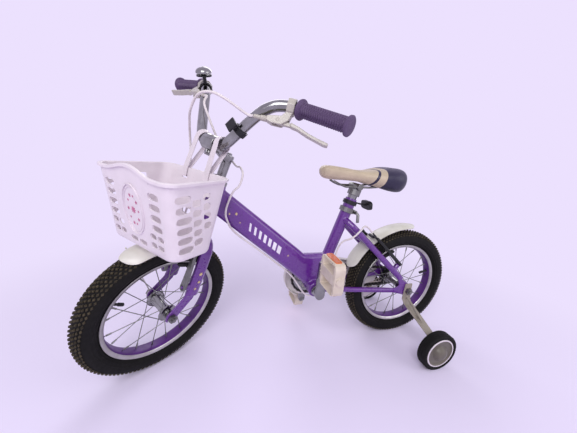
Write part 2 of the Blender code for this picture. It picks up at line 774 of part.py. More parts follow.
def build_front_fender():
    """The front fender, held by a boss under the fork crown and one thin stay from the axle."""
    shell = fender_shell(FRONT_AXLE, FRONT_FENDER_RADIUS, *FRONT_FENDER_ARC, 7)
    under_crown = CROWN_ALONG - BLADE_HALF_THICKNESS - 0.0010 - GAP
    crown_drop = FRONT_FENDER_RADIUS + FENDER_WALL
    foot_along = FRONT_AXLE_ALONG + math.sqrt(crown_drop**2 - FORK_RAKE**2) - 0.0010
    post = rod(on_head(foot_along, 0.0), on_head(under_crown, 0.0), 0.0060, 8)
    eye_side = -(FORK_TAB_SIDE + FORK_TAB_THICKNESS / 2 + GAP + 0.0008)
    eye = tube_ring(FRONT_AXLE + SIDE * eye_side, SIDE, 0.0008, 0.0125, SLOT_HALF_WIDTH, 8)
    turn = FRONT_FENDER_ARC[0] + 0.12
    way = Vector((math.cos(turn), 0.0, math.sin(turn)))
    edge_radius = FRONT_FENDER_RADIUS - FENDER_CROWN
    path = [
        FRONT_AXLE + SIDE * (eye_side - 0.0006) + way * 0.0115,
        FRONT_AXLE + SIDE * (eye_side - 0.0006) + way * 0.0220,
        FRONT_AXLE + SIDE * -(FENDER_HALF_WIDTH + 0.0020) + way * (edge_radius - 0.0060),
        FRONT_AXLE + SIDE * -(FENDER_HALF_WIDTH + 0.0008) + way * (edge_radius + 0.0030),
    ]
    stay = sweep(path, ellipse(0.0014, 0.0014, 6), SIDE.cross(way))
    return fused("front_fender", [shell, post, eye, stay], WHITE_PLASTIC)


def wheel_rim(name, centre, zero):
    wide, high = RIM_HALF_WIDTH, RIM_RADIUS
    half = [(high, wide), (high - RIM_DEPTH, wide - 0.0040)]
    channel = [(high, wide - RIM_WALL), (high - RIM_CHANNEL_DEPTH, wide - RIM_WALL - 0.0004)]
    profile = half + [(r, -s) for r, s in reversed(half)] + [(r, -s) for r, s in channel] + channel[::-1]
    return solid(name, turned(profile, centre, SIDE, WHEEL_FACETS, zero, hollow=True), ALUMINIUM)


def wheel_tyre(name, centre, zero):
    half = tyre_profile()
    profile = half + [(r, -s) for r, s in reversed(half)]
    return solid(name, turned(profile, centre, SIDE, WHEEL_FACETS, zero, hollow=True), BLACK_RUBBER)


def laced_hub(name, centre, zero, left, right, right_end):
    """A hub with its spokes, which cross two others and end at the rim's bed."""
    r, flange, half = HUB_BARREL_RADIUS, HUB_FLANGE_RADIUS, HUB_FLANGE_THICKNESS / 2
    bore, end = AXLE_RADIUS + RUNNING_GAP, HUB_END_SIDE
    profile = [
        (bore, -right_end),
        (0.0105, -right_end),
        (0.0105, -right - half),
        (flange, -right - half),
        (flange, -right + half),
        (r, -right + half + 0.0030),
        (r, left - half - 0.0030),
        (flange, left - half),
        (flange, left + half),
        (0.0105, left + half),
        (0.0105, end),
        (bore, end),
    ]
    barrel = turned(profile, centre, SIDE, 10, zero, hollow=True)
    down = (zero - SIDE * zero.dot(SIDE)).normalized()
    sideways = SIDE.cross(down)
    step = 2 * math.pi / WHEEL_FACETS
    bed = RIM_RADIUS - RIM_DEPTH
    spokes = []
    for k in range(SPOKE_COUNT):
        turn = 2 * math.pi * (k + 0.5) / SPOKE_COUNT
        flange_side = left if k % 2 else -right
        leading = 1 if k % 4 < 2 else -1
        lay = leading * (SPOKE_RADIUS + GAP)
        hole = turn + leading * 4 * math.pi / SPOKE_COUNT * 2
        off_facet = (turn + step / 2) % step - step / 2
        reach = bed / math.cos(off_facet) - GAP - SPOKE_RADIUS * 0.5
        start = centre + (down * math.cos(hole) + sideways * math.sin(hole)) * (flange - 0.0020)
        start += SIDE * (flange_side + math.copysign(1, flange_side) * lay)
        finish_at = centre + (down * math.cos(turn) + sideways * math.sin(turn)) * reach
        finish_at += SIDE * math.copysign(0.0015, flange_side)
        spokes.append(rod(start, finish_at, SPOKE_RADIUS, 4, SIDE))
    return fused(name, [barrel, *spokes], ALUMINIUM)


def axle_with_nuts(name, centre, length_half, cones, nuts, finish_used):
    """A solid axle; each cone and nut is (near side, far side, radius, sides)."""
    shapes = [rod(centre - SIDE * length_half, centre + SIDE * length_half, AXLE_RADIUS, 8)]
    for low, high, radius, sides in (*cones, *nuts):
        shapes.append(rod(centre + SIDE * low, centre + SIDE * high, radius, sides))
    return fused(name, shapes, finish_used)


def fork_leg():
    shoulder = [
        on_head(CROWN_ALONG, 0.0, -0.0040),
        on_head(CROWN_ALONG - 0.0030, 0.0, 0.0220),
        on_head(CROWN_ALONG - 0.0140, 0.0, BLADE_SIDE - 0.0090),
        on_head(CROWN_ALONG - 0.0330, 0.0, BLADE_SIDE - 0.0015),
    ]
    path = curve_through(shoulder, 2)
    path += [on_head(0.1200, 0.0, BLADE_SIDE), on_head(0.0450, 0.0, BLADE_SIDE + 0.0005)]
    return sweep(path, ellipse(BLADE_HALF_DEPTH, BLADE_HALF_THICKNESS, 8, 2.5), HEAD_OUT)


def fork_tab_outline():
    """A fork dropout, measured out and up from the foot of the steering axis, with its slot open below."""
    out, along = FORK_RAKE, FRONT_AXLE_ALONG
    slot = arc((out, along), SLOT_HALF_WIDTH, math.pi, 0.0, 6)
    return [
        (-0.0100, 0.0640),
        (-0.0080, 0.0360),
        (out - 0.0160, along + 0.0040),
        (out - 0.0120, along - 0.0090),
        (out - SLOT_HALF_WIDTH, along - 0.0130),
        *slot,
        (out + SLOT_HALF_WIDTH, along - 0.0130),
        (out + 0.0120, along - 0.0090),
        (out + 0.0130, along + 0.0060),
        (0.0180, 0.0400),
        (0.0140, 0.0640),
    ]


def build_fork():
    shoulder = ARM_OUT - ARM_THICKNESS / 2 - GAP
    pin = ARM_OUT + ARM_THICKNESS / 2 + 0.0012
    seat = HEAD_TUBE_START - CUP_HEIGHT - 2 * GAP
    top = HEAD_TUBE_START + HEAD_TUBE_LENGTH + LOCKNUT_HEIGHT - 0.0030
    shapes = [
        rod(on_head(CROWN_ALONG - 0.0040, 0.0), on_head(seat, 0.0), 0.0185, STEERER_SIDES),
        rod(on_head(CROWN_ALONG, 0.0), on_head(top, 0.0), STEERER_RADIUS, STEERER_SIDES),
    ]
    half = FORK_TAB_THICKNESS / 2
    for side in (1, -1):
        pair = [fork_leg(), boss(on_head(BOSS_ALONG, 0.0, BOSS_SIDE), HEAD_OUT, shoulder, pin)]
        shapes += [shape if side > 0 else mirrored(shape) for shape in pair]
        flat = axes(HEAD_FOOT + SIDE * (FORK_TAB_SIDE * side), HEAD_OUT, HEAD_UP)
        shapes.append(plate(fork_tab_outline(), -half, half, flat))
    bore = rod(on_head(STEM_TOP_ALONG - QUILL_LENGTH - 0.0050, 0.0), on_head(top + 0.0100, 0.0), STEERER_BORE, STEERER_SIDES)
    return fused("fork", shapes, PURPLE_PAINT, [bore])


def build_headset():
    """The lower and the upper race, seated on the head tube's ends."""
    bore = STEERER_RADIUS + 0.0006
    low = HEAD_TUBE_START - GAP - CUP_HEIGHT / 2
    lower = tube_ring(on_head(low, 0.0), HEAD_UP, CUP_HEIGHT / 2, CUP_RADIUS, bore, STEERER_SIDES)
    foot = HEAD_TUBE_START + HEAD_TUBE_LENGTH + GAP
    profile = [
        (bore - 0.0003, 0.0),
        (CUP_RADIUS, 0.0),
        (CUP_RADIUS, 0.0080),
        (CUP_RADIUS - 0.0020, 0.0100),
        (CUP_RADIUS - 0.0020, 0.0130),
        (CUP_RADIUS, 0.0140),
        (CUP_RADIUS, LOCKNUT_HEIGHT - 0.0010),
        (bore - 0.0003, LOCKNUT_HEIGHT - 0.0010),
    ]
    upper = turned(profile, on_head(foot, 0.0), HEAD_UP, STEERER_SIDES, hollow=True)
    return solid("headset_lower", lower, CHROME), solid("headset_upper", upper, CHROME)


def build_stem():
    """The quill, its neck and the drum that clamps the bar, with a bolt in its lugs below."""
    top = STEM_TOP_ALONG
    drum = on_head(BAR_CLAMP_ALONG, BAR_CLAMP_OUT)
    quill = [
        (QUILL_RADIUS, 0.0),
        (QUILL_RADIUS, QUILL_LENGTH - 0.0160),
        (QUILL_RADIUS + 0.0025, QUILL_LENGTH - 0.0110),
        (QUILL_RADIUS + 0.0025, QUILL_LENGTH - 0.0020),
        (QUILL_RADIUS + 0.0005, QUILL_LENGTH),
    ]
    neck_path = [
        on_head(top - 0.0150, 0.0),
        on_head((top - 0.0150 + BAR_CLAMP_ALONG) / 2, BAR_CLAMP_OUT * 0.45),
        drum - HEAD_OUT * 0.0060,
    ]
    lug = axes(drum - HEAD_UP * (DRUM_RADIUS + 0.0040) - HEAD_OUT * 0.0030, SIDE, HEAD_UP)
    shapes = [
        turned(quill, on_head(top - QUILL_LENGTH, 0.0), HEAD_UP, STEERER_SIDES),
        sweep(neck_path, ellipse(0.0110, 0.0095, 10, 2.4), SIDE),
        rod(drum - SIDE * DRUM_HALF_WIDTH, drum + SIDE * DRUM_HALF_WIDTH, DRUM_RADIUS, 12),
        block(lug, 0.0090, 0.0070, 0.0075),
        rod(drum - HEAD_UP * 0.0215 - HEAD_OUT * 0.0150, drum - HEAD_UP * 0.0215 + HEAD_OUT * 0.0090, 0.0042, 6),
    ]
    bore = rod(drum - SIDE * 0.05, drum + SIDE * 0.05, BAR_RADIUS + RUNNING_GAP * 0.75, 12)
    slit = block(axes(drum - HEAD_UP * 0.0200 - HEAD_OUT * 0.0030, SIDE, HEAD_UP), 0.0300, 0.0120, 0.0010)
    return fused("stem", shapes, CHROME, [bore, slit])


def build_stem_bolt():
    foot = on_head(STEM_TOP_ALONG + GAP, 0.0)
    profile = [(0.0072, 0.0), (0.0072, 0.0020), (0.0050, 0.0045), (0.0, 0.0055)]
    return solid("stem_bolt", turned(profile, foot, HEAD_UP, 12), CHROME)


def bar_half():
    """Points of the left half of the handlebar's middle line, from the clamp to its end."""
    rises = [
        (0.0270, 0.0000, 0.0000),
        (0.0390, 0.0070, -0.0002),
        (0.0500, 0.0184, -0.0006),
        (0.0750, 0.0604, -0.0056),
        (0.0940, 0.0901, -0.0106),
        (0.1045, 0.1022, -0.0143),
        (0.1170, 0.1120, -0.0200),
        (0.1330, 0.1188, -0.0292),
        (0.1590, 0.1216, -0.0385),
        (BAR_HALF_WIDTH, 0.1146, -0.0417),
    ]
    return [on_head(BAR_CLAMP_ALONG + up, BAR_CLAMP_OUT + out, side) for side, up, out in rises]


def mirror_point(point):
    return Vector((point.x, -point.y, point.z))


def bar_place(side):
    """The handlebar's middle and its outward direction where it has got this far from the middle."""
    line = [on_head(BAR_CLAMP_ALONG, BAR_CLAMP_OUT), *bar_half()]
    reach = abs(side)
    for first, second in zip(line, line[1:]):
        if first.y <= reach < second.y:
            share = (reach - first.y) / (second.y - first.y)
            place, way = first.lerp(second, share), (second - first).normalized()
            return (place, way) if side >= 0 else (mirror_point(place), mirror_point(way))
    raise ValueError("the handlebar isn't that wide")


def bar_sweep(radius):
    """A round bar of any radius along the handlebar's middle line."""
    line = bar_half()
    path = [mirror_point(p) for p in reversed(line)] + line
    return sweep(path, ellipse(radius, radius, 10), HEAD_UP)


def build_handlebar():
    return solid("handlebar", bar_sweep(BAR_RADIUS), CHROME)


def build_grip(side):
    """A rubber grip with raised bands between its two flanges, closed at its outer end."""
    name = "grip_left" if side > 0 else "grip_right"
    end, _ = bar_place((BAR_HALF_WIDTH - 1e-6) * side)
    start, _ = bar_place(GRIP_START * side)
    way = (end - start).normalized()
    length = (end - start).length + 0.0030
    bore = BAR_RADIUS + GAP + 0.0003
    body, flange = GRIP_RADIUS, GRIP_FLANGE_RADIUS
    profile = [(flange - 0.0015, 0.0), (flange, 0.0015), (flange, 0.0045), (body, 0.0075)]
    for place in (length / 2,):
        profile += [(body, place - 0.0050), (body + 0.0012, place), (body, place + 0.0050)]
    profile += [(body, length - 0.0080), (flange - 0.0010, length - 0.0050), (flange - 0.0010, length - 0.0015)]
    profile += [(flange - 0.0035, length), (0.0, length)]
    closed_bore = [(bore, 0.0), (bore, length - 0.0027), (0.0, length - 0.0027)]
    return solid(name, turned(profile[::-1] + closed_bore, start, way, 10), PURPLE_RUBBER)


def lever_place(side):
    """A brake lever's place on the bar: outwards, away from the bar, and across."""
    centre, outward = bar_place(LEVER_SIDE * side)
    share = LEFT_LEVER_STRAIGHTENING if side > 0 else RIGHT_LEVER_STRAIGHTENING
    outward = (outward * (1 - share) + SIDE * (side * share)).normalized()
    turn = LEFT_LEVER_TURN if side > 0 else RIGHT_LEVER_TURN
    reach = HEAD_OUT * math.sin(turn) - HEAD_UP * math.cos(turn)
    reach = (reach - outward * reach.dot(outward)).normalized()
    return axes(centre, outward, reach)


def build_lever_perch(side):
    """The clamp on the bar, the two cheeks that hold the lever's pin, and the cable's barrel."""
    name = "lever_perch_left" if side > 0 else "lever_perch_right"
    place = lever_place(side)
    outward = place.col[0].to_3d()
    body = [
        (0.0060, 0.0120),
        (0.0020, 0.0300),
        (-0.0100, 0.0410),
        (-0.0300, 0.0410),
        (-0.0400, 0.0375),
        (-0.0400, 0.0290),
        (-0.0300, 0.0265),
        (-0.0130, 0.0235),
        (-0.0060, 0.0125),
    ]
    barrel = place @ Vector((-0.0380, BARREL_TIP.y, 0.0))
    shapes = [
        rod(place.translation - outward * 0.0075, place.translation + outward * 0.0075, 0.0160, 8),
        plate(body, -LEVER_CHEEK, LEVER_CHEEK, place),
        rod(barrel, place @ Vector((-0.0520, BARREL_TIP.y, 0.0)), 0.0055, 8),
        rod(barrel, place @ BARREL_TIP, 0.0040, 8),
    ]
    slot_place = place @ Matrix.Translation((-0.0050, 0.0400, 0.0))
    slot = plate(box_section(0.0230, 0.0140), -LEVER_SLOT, LEVER_SLOT, slot_place)
    perch = fused(name, shapes, WHITE_PLASTIC, [slot, bar_sweep(BAR_RADIUS + RUNNING_GAP)])
    pin = rod(
        place @ (LEVER_PIVOT - Vector((0.0, 0.0, LEVER_CHEEK + 0.0008))),
        place @ (LEVER_PIVOT + Vector((0.0, 0.0, LEVER_CHEEK + 0.0008))),
        0.0025,
        8,
    )
    joined = bmesh.new()
    joined.from_mesh(perch.data)
    bpy.data.objects.remove(perch, do_unlink=True)
    return fused(name, [joined, pin], WHITE_PLASTIC)


def build_brake_lever(side):
    """The lever's blade: a narrow root between the cheeks and a wider, gently hooked finger part."""
    name = "brake_lever_left" if side > 0 else "brake_lever_right"
    place = lever_place(side)
    px, py = LEVER_PIVOT.x, LEVER_PIVOT.y
    root = [
        *arc((px, py), 0.0062, math.pi * 0.5, math.pi * 1.5, 5),
        (px + 0.0220, py - 0.0010),
        (px + 0.0340, py + 0.0010),
        (px + 0.0340, py + 0.0070),
        (px + 0.0220, py + 0.0062),
    ]
    finger = [
        (0.0080, 0.0315),
        (0.0240, 0.0360),
        (0.0440, 0.0440),
        (0.0640, 0.0495),
        (0.0790, 0.0525),
        (0.0850, 0.0545),
        (0.0845, 0.0590),
        (0.0770, 0.0590),
        (0.0620, 0.0550),
        (0.0420, 0.0495),
        (0.0220, 0.0420),
        (0.0080, 0.0395),
    ]
    hole = arc((px, py), 0.0034, 0.0, -2 * math.pi * 7 / 8, 7)
    shapes = [
        plate(root, -LEVER_SLOT + GAP * 2, LEVER_SLOT - GAP * 2, place, [hole]),
        plate(finger, -0.0062, 0.0062, place),
    ]
    return fused(name, shapes, WHITE_PLASTIC)


def bell_place():
    """The bell's foot on the bar, with its first axis up the stalk and its second forwards."""
    centre, outward = bar_place(-BELL_SIDE)
    up = HEAD_UP * 0.84 + HEAD_OUT * 0.54
    up = (up - outward * up.dot(outward)).normalized()
    return centre, outward, up


def build_bell():
    centre, outward, up = bell_place()
    shapes = [
        tube_ring(centre, outward, 0.0055, 0.0146, BAR_RADIUS + RUNNING_GAP, 10),
        rod(centre + up * 0.0130, centre + up * 0.0290, 0.0042, 8),
        rod(centre + up * 0.0270, centre + up * BELL_BASE_TOP, BELL_RADIUS - 0.0012, 16),
        rod(centre + up * 0.0280, centre + up * (BELL_BASE_TOP + 0.0030), 0.0026, 8),
    ]
    base = fused("bell_base", shapes, BLACK_PLASTIC)
    foot = BELL_BASE_TOP + 0.0030 + GAP
    dome = [(BELL_RADIUS, 0.0)]
    for k in range(1, 5):
        turn = math.pi / 2 * k / 5
        dome.append((BELL_RADIUS * math.cos(turn), BELL_HEIGHT * math.sin(turn)))
    dome.append((0.0, BELL_HEIGHT))
    cover = solid("bell_dome", turned(dome, centre + up * foot, up, 16), CHROME)
    forward = (outward.cross(up)).normalized()
    flat = axes(centre + up * (BELL_BASE_TOP + 0.0015), outward, forward)
    outline = [
        *arc((0.0, 0.0), 0.0055, math.pi * 0.75, math.pi * 1.75, 5),
        (0.0240, -0.0080),
        (0.0300, -0.0030),
        (0.0270, 0.0060),
        (0.0150, 0.0050),
    ]
    hole = arc((0.0, 0.0), 0.0034, 0.0, -2 * math.pi * 7 / 8, 7)
    thumb = solid("bell_lever", plate(outline, -0.0012, 0.0012, flat, [hole]), BLACK_PLASTIC)
    return base, cover, thumb


def build_reflector_bracket():
    """A clamp on the bar with a square plate facing forwards."""
    centre, outward = bar_place(BRACKET_SIDE)
    ahead = (HEAD_OUT - outward * HEAD_OUT.dot(outward)).normalized()
    upright = outward.cross(ahead)
    plate_place = axes(centre + ahead * 0.0270, upright, outward)
    shapes = [
        tube_ring(centre, outward, 0.0060, 0.0150, BAR_RADIUS + RUNNING_GAP, 10),
        rod(centre + ahead * 0.0130, centre + ahead * 0.0270, 0.0045, 8),
        block(plate_place, 0.0105, 0.0105, 0.0020),
    ]
    return fused("reflector_bracket", shapes, BLACK_PLASTIC)


def basket_place():
    """The basket's own directions at the middle of its top rear edge, where it hangs a little askew."""
    turn = Matrix.Rotation(BASKET_YAW, 4, "Z") @ Matrix.Rotation(BASKET_PITCH, 4, "Y")
    turn = turn @ Matrix.Rotation(BASKET_ROLL, 4, "X")
    return Matrix.Translation(on_head(BASKET_ALONG, BASKET_OUT, BASKET_SIDE)) @ turn


def basket_ring(share, inset, lift=0.0, hump=0.0):
    """A level ring of the basket, from its floor (share 0) to its rim (share 1)."""
    rear = BASKET_FLOOR_SHIFT * (1 - share) + inset
    front = BASKET_FLOOR_SHIFT + BASKET_FLOOR_DEPTH
    front += (BASKET_DEPTH - front) * share - inset
    half_rear = BASKET_FLOOR_HALF_WIDTH + (BASKET_REAR_HALF_WIDTH - BASKET_FLOOR_HALF_WIDTH) * share - inset
    half_front = BASKET_FLOOR_HALF_WIDTH + (BASKET_HALF_WIDTH - BASKET_FLOOR_HALF_WIDTH) * share - inset
    z = -BASKET_HEIGHT * (1 - share) + lift
    corner = BASKET_CORNER - inset * 0.5
    ring = []
    quarter = [math.pi / 2 * k / 2 for k in range(3)]
    for cx, cy, start in (
        (front - corner, -half_front + corner, -math.pi / 2),
        (front - corner, half_front - corner, 0.0),
        (rear + corner, half_rear - corner, math.pi / 2),
        (rear + corner, -half_rear + corner, math.pi),
    ):
        ring += [Vector((cx + corner * math.cos(start + t), cy + corner * math.sin(start + t), z)) for t in quarter]
        if start == -math.pi / 2:
            for y in (-0.62, -0.38, 0.0, 0.38, 0.62):
                rise = hump * max(0.0, 1 - (y / 0.62) ** 4)
                ring.append(Vector((front, y * half_front, z + rise)))
    return ring


def front_wall(share, y):
    """A point outside the front wall, at a share of its height and a place across it."""
    front = BASKET_FLOOR_SHIFT + BASKET_FLOOR_DEPTH
    front += (BASKET_DEPTH - front) * share
    return Vector((front, y, -BASKET_HEIGHT * (1 - share)))


def side_wall(share, x, side):
    rear = BASKET_FLOOR_SHIFT * (1 - share)
    front = BASKET_FLOOR_SHIFT + BASKET_FLOOR_DEPTH
    front += (BASKET_DEPTH - front) * share
    half_rear = BASKET_FLOOR_HALF_WIDTH + (BASKET_REAR_HALF_WIDTH - BASKET_FLOOR_HALF_WIDTH) * share
    half_front = BASKET_FLOOR_HALF_WIDTH + (BASKET_HALF_WIDTH - BASKET_FLOOR_HALF_WIDTH) * share
    half = half_rear + (half_front - half_rear) * (x - rear) / (front - rear)
    return Vector((x, half * side, -BASKET_HEIGHT * (1 - share)))


def hole_cutter(place, middle, along, width, height, sides=6):
    """A prism through one wall, wide along the wall and high up it."""
    flat = axes(middle, along, Vector((0.0, 0.0, 1.0)))
    return plate(ellipse(width / 2, height / 2, sides, 2.3), -0.0090, 0.0090, place @ flat)


def basket_cutters(place):
    """Rows of oval holes: rounder ones round the sides, wide ones beside the badge and in the rear."""
    across_way, forward = Vector((0.0, 1.0, 0.0)), Vector((1.0, 0.0, 0.0))
    shapes = []
    for side in (-1, 1):
        for row in range(BASKET_HOLE_ROWS):
            share = BASKET_HOLE_START + row * BASKET_HOLE_STEP
            lean = forward * (BASKET_DEPTH - BASKET_FLOOR_SHIFT - BASKET_FLOOR_DEPTH) * share
            x = BASKET_FLOOR_SHIFT + BASKET_FLOOR_DEPTH - 0.0290 + lean.x
            shapes.append(hole_cutter(place, side_wall(share, x, side), forward, 0.0310, 0.0130))
            stagger = 0.0060 if row % 2 else 0.0
            for step in (1, 2):
                x_hole = x - 0.0060 - step * 0.0250 + stagger
                if x_hole - 0.0110 > BASKET_FLOOR_SHIFT * (1 - share) + BASKET_CORNER * 0.6:
                    shapes.append(hole_cutter(place, side_wall(share, x_hole, side), forward, 0.0190, 0.0125))
        for share in (0.30, 0.44, 0.58, 0.72):
            shapes.append(hole_cutter(place, front_wall(share, 0.0610 * side), across_way, 0.0270, 0.0110))
        for share in (0.40, 0.65):
            rear = Vector((BASKET_FLOOR_SHIFT * (1 - share), 0.0560 * side, -BASKET_HEIGHT * (1 - share)))
            shapes.append(hole_cutter(place, rear, across_way, 0.0300, 0.0120))
    for y in (-0.0540, -0.0180, 0.0180, 0.0540):
        shapes.append(hole_cutter(place, front_wall(0.13, y), across_way, 0.0260, 0.0110))
    for share in (0.40, 0.65):
        rear = Vector((BASKET_FLOOR_SHIFT * (1 - share), 0.0, -BASKET_HEIGHT * (1 - share)))
        shapes.append(hole_cutter(place, rear, across_way, 0.0300, 0.0120))
    for side in (-1, 1):
        share = 1 - STRAP_SLOT_DROP / BASKET_HEIGHT
        slot = Vector((BASKET_FLOOR_SHIFT * (1 - share), STRAP_SIDE * side, -STRAP_SLOT_DROP))
        flat = axes(slot, across_way, Vector((0.0, 0.0, 1.0)))
        half = STRAP_WIDTH / 2 + 0.0015
        shapes.append(plate(box_section(half, STRAP_SLOT_HEIGHT / 2), -0.0100, 0.0100, place @ flat))
    return together(shapes)


def build_basket():
    """A moulded basket: one thin wall with a rolled rim, a raised front and a ring for a badge."""
    place = basket_place()
    wall = BASKET_WALL
    rings = [
        basket_ring(0.0, 0.0040),
        basket_ring(0.02, 0.0),
        basket_ring(1 - 0.0800 / BASKET_HEIGHT * 0.1, 0.0, -0.0050, BASKET_HUMP * 0.9),
        basket_ring(1.0, -BASKET_RIM * 0.6, -0.0040, BASKET_HUMP),
        basket_ring(1.0, -BASKET_RIM * 0.5, 0.0030, BASKET_HUMP),
        basket_ring(1.0, wall + 0.0004, 0.0030, BASKET_HUMP),
        basket_ring(0.04, wall),
        basket_ring(0.0, wall + 0.0040, wall),
    ]
    shell = skin([[place @ point for point in ring] for ring in rings])
    middle = front_wall(BADGE_SHARE, 0.0)
    lean = math.atan2(BASKET_DEPTH - BASKET_FLOOR_SHIFT - BASKET_FLOOR_DEPTH, BASKET_HEIGHT)
    up_wall = Vector((math.sin(lean), 0.0, math.cos(lean)))
    flat = place @ axes(middle, Vector((0.0, 1.0, 0.0)), up_wall)
    badge = plate(ellipse(BADGE_HALF_WIDTH, BADGE_HALF_HEIGHT, 14), -0.0005, 0.0025, flat)
    dish = plate(ellipse(BADGE_HALF_WIDTH - 0.0035, BADGE_HALF_HEIGHT - 0.0035, 14), 0.0010, 0.0060, flat)
    return fused("basket", [shell, badge], WHITE_PLASTIC, [dish, basket_cutters(place)])


def build_strap(side):
    """A band looped over the handlebar and through a slot under the basket's rear rim."""
    name = "basket_strap_left" if side > 0 else "basket_strap_right"
    place = basket_place()
    half = STRAP_THICKNESS / 2
    bar, _ = bar_place(STRAP_SIDE * side)
    outward = SIDE * math.cos(STRAP_TILT) + HEAD_UP * (math.sin(STRAP_TILT) * side)
    ahead = (HEAD_OUT - outward * HEAD_OUT.dot(outward)).normalized()
    above = ahead.cross(outward)
    share = 1 - STRAP_SLOT_DROP / BASKET_HEIGHT
    wall_x = BASKET_FLOOR_SHIFT * (1 - share)
    clear = half + 0.0009
    lower = [
        (-BASKET_RIM * 0.6 - clear, 0.0030),
        (-BASKET_RIM * 0.6 - clear, -0.0045),
        (wall_x - clear - 0.0014, -STRAP_SLOT_DROP),
        (wall_x + BASKET_WALL + clear + 0.0004, -STRAP_SLOT_DROP),
        (BASKET_WALL + clear + 0.0008, 0.0030),
    ]
    radius = BAR_RADIUS + STRAP_CLEARANCE + half
    stations = []
    for k in range(6):
        turn = (math.pi + 0.30) * k / 5 - 0.15
        stations.append((bar + ahead * (radius * math.cos(turn)) + above * (radius * math.sin(turn)), outward))
    across_basket = place.to_3x3() @ Vector((0.0, 1.0, 0.0))
    stations += [(place @ Vector((x, STRAP_SIDE * side, z)), across_basket) for x, z in lower]
    path = [point for point, _ in stations]
    rings = []
    for (point, wide), way in zip(stations, tangents(path, True)):
        wide = (wide - way * wide.dot(way)).normalized()
        high = way.cross(wide)
        rings.append([point + wide * a + high * b for a, b in box_section(STRAP_WIDTH / 2, half)])
    return solid(name, skin(rings, True), WHITE_PLASTIC)


def brake_frame(front):
    """What carries a brake: a function to a point, its two directions, its axle and its boss height."""
    if front:
        return on_head, HEAD_UP, HEAD_OUT, FRONT_AXLE_ALONG, FORK_RAKE, BOSS_ALONG
    offset = AXLE - STAY_FOOT
    return on_stay, STAY_UP, STAY_OUT, offset.dot(STAY_UP), offset.dot(STAY_OUT), REAR_BOSS_ALONG


def pad_place(front, side):
    """The middle of a brake pad and its radial direction."""
    at, up, out, axle_along, axle_out, _ = brake_frame(front)
    radius = RIM_RADIUS - PAD_BELOW_RIM
    along = axle_along + math.sqrt(radius**2 - (ARM_OUT - axle_out) ** 2)
    radial = (up * (along - axle_along) + out * (ARM_OUT - axle_out)).normalized()
    middle_side = (RIM_HALF_WIDTH + PAD_GAP + PAD_THICKNESS / 2) * side
    return at(along, ARM_OUT, middle_side), radial


def build_brake_pad(name, front, side):
    """A rubber block along the rim on a stud that reaches the arm's inner edge."""
    middle, radial = pad_place(front, side)
    tangent = SIDE.cross(radial)
    flat = axes(middle, tangent, radial)
    stud_end = (BOSS_SIDE - ARM_INNER_INSET - GAP) * side - middle.y
    shapes = [
        plate(ellipse(PAD_LENGTH / 2, PAD_HEIGHT / 2, 12, 5.0), -PAD_THICKNESS / 2, PAD_THICKNESS / 2, flat),
        rod(middle + SIDE * (PAD_THICKNESS / 2 * side * 0.6), middle + SIDE * stud_end, 0.0028, 8),
    ]
    return fused(name, shapes, BLACK_RUBBER)


def build_brake_arm(name, front, side, with_noodle):
    """A long brake arm that turns on its boss; one of a pair holds the cable's bent pipe and boot."""
    at, up, out, _, _, boss_along = brake_frame(front)
    low, high = boss_along, boss_along + ARM_LENGTH
    b = BOSS_SIDE
    outline = [
        *arc((b, low), 0.0085, math.pi, 2 * math.pi, 6),
        (b + 0.0070, low + 0.0325),
        (b + 0.0050, low + 0.0625),
        (b + 0.0010, low + 0.0975),
        (b + 0.0005, high),
        (b - 0.0090, high),
        (b - 0.0095, low + 0.0925),
        (b - ARM_INNER_INSET, low + 0.0640),
        (b - ARM_INNER_INSET, low + 0.0300),
    ]
    hole = arc((b, low), BOSS_PIN_RADIUS + RUNNING_GAP + 0.0002, 0.0, -2 * math.pi * 9 / 10, 9)
    flat = Matrix((SIDE * side, up, out)).transposed().to_4x4()
    flat.translation = at(0.0, ARM_OUT, 0.0)
    shapes = [plate(outline, -ARM_THICKNESS / 2, ARM_THICKNESS / 2, flat, [hole])]
    top = high - 0.0045
    if with_noodle:
        path = [
            at(high + INLET_RISE, ARM_OUT, INLET_SIDE * side),
            at(high + 0.0120, ARM_OUT, INLET_SIDE * side),
            at(high + 0.0030, ARM_OUT, (INLET_SIDE - 0.0012) * side),
            at(high - 0.0025, ARM_OUT, (INLET_SIDE - 0.0060) * side),
            at(top, ARM_OUT, 0.0220 * side),
        ]
        shapes.append(sweep(path, ellipse(CABLE_RADIUS, CABLE_RADIUS, 6), out))
        boot = [
            (0.0, 0.0),
            (0.0030, 0.0),
            (0.0044, 0.0040),
            (0.0040, BOOT_LENGTH),
            (0.0022, BOOT_LENGTH),
            (0.0022, 0.0090),
            (0.0, 0.0090),
        ]
        shapes.append(turned(boot, at(top, ARM_OUT, 0.0240 * side), SIDE * -side, 8))
    else:
        wire_end = at(top, ARM_OUT, -0.0020 * side)
        shapes.append(rod(at(top, ARM_OUT, (b - 0.0060) * side), wire_end, 0.0009, 4))
        shapes.append(rod(at(top, ARM_OUT + 0.0050, (b - 0.0045) * side), at(top, ARM_OUT - 0.0055, (b - 0.0045) * side), 0.0034, 6))
    return fused(name, shapes, CHROME)


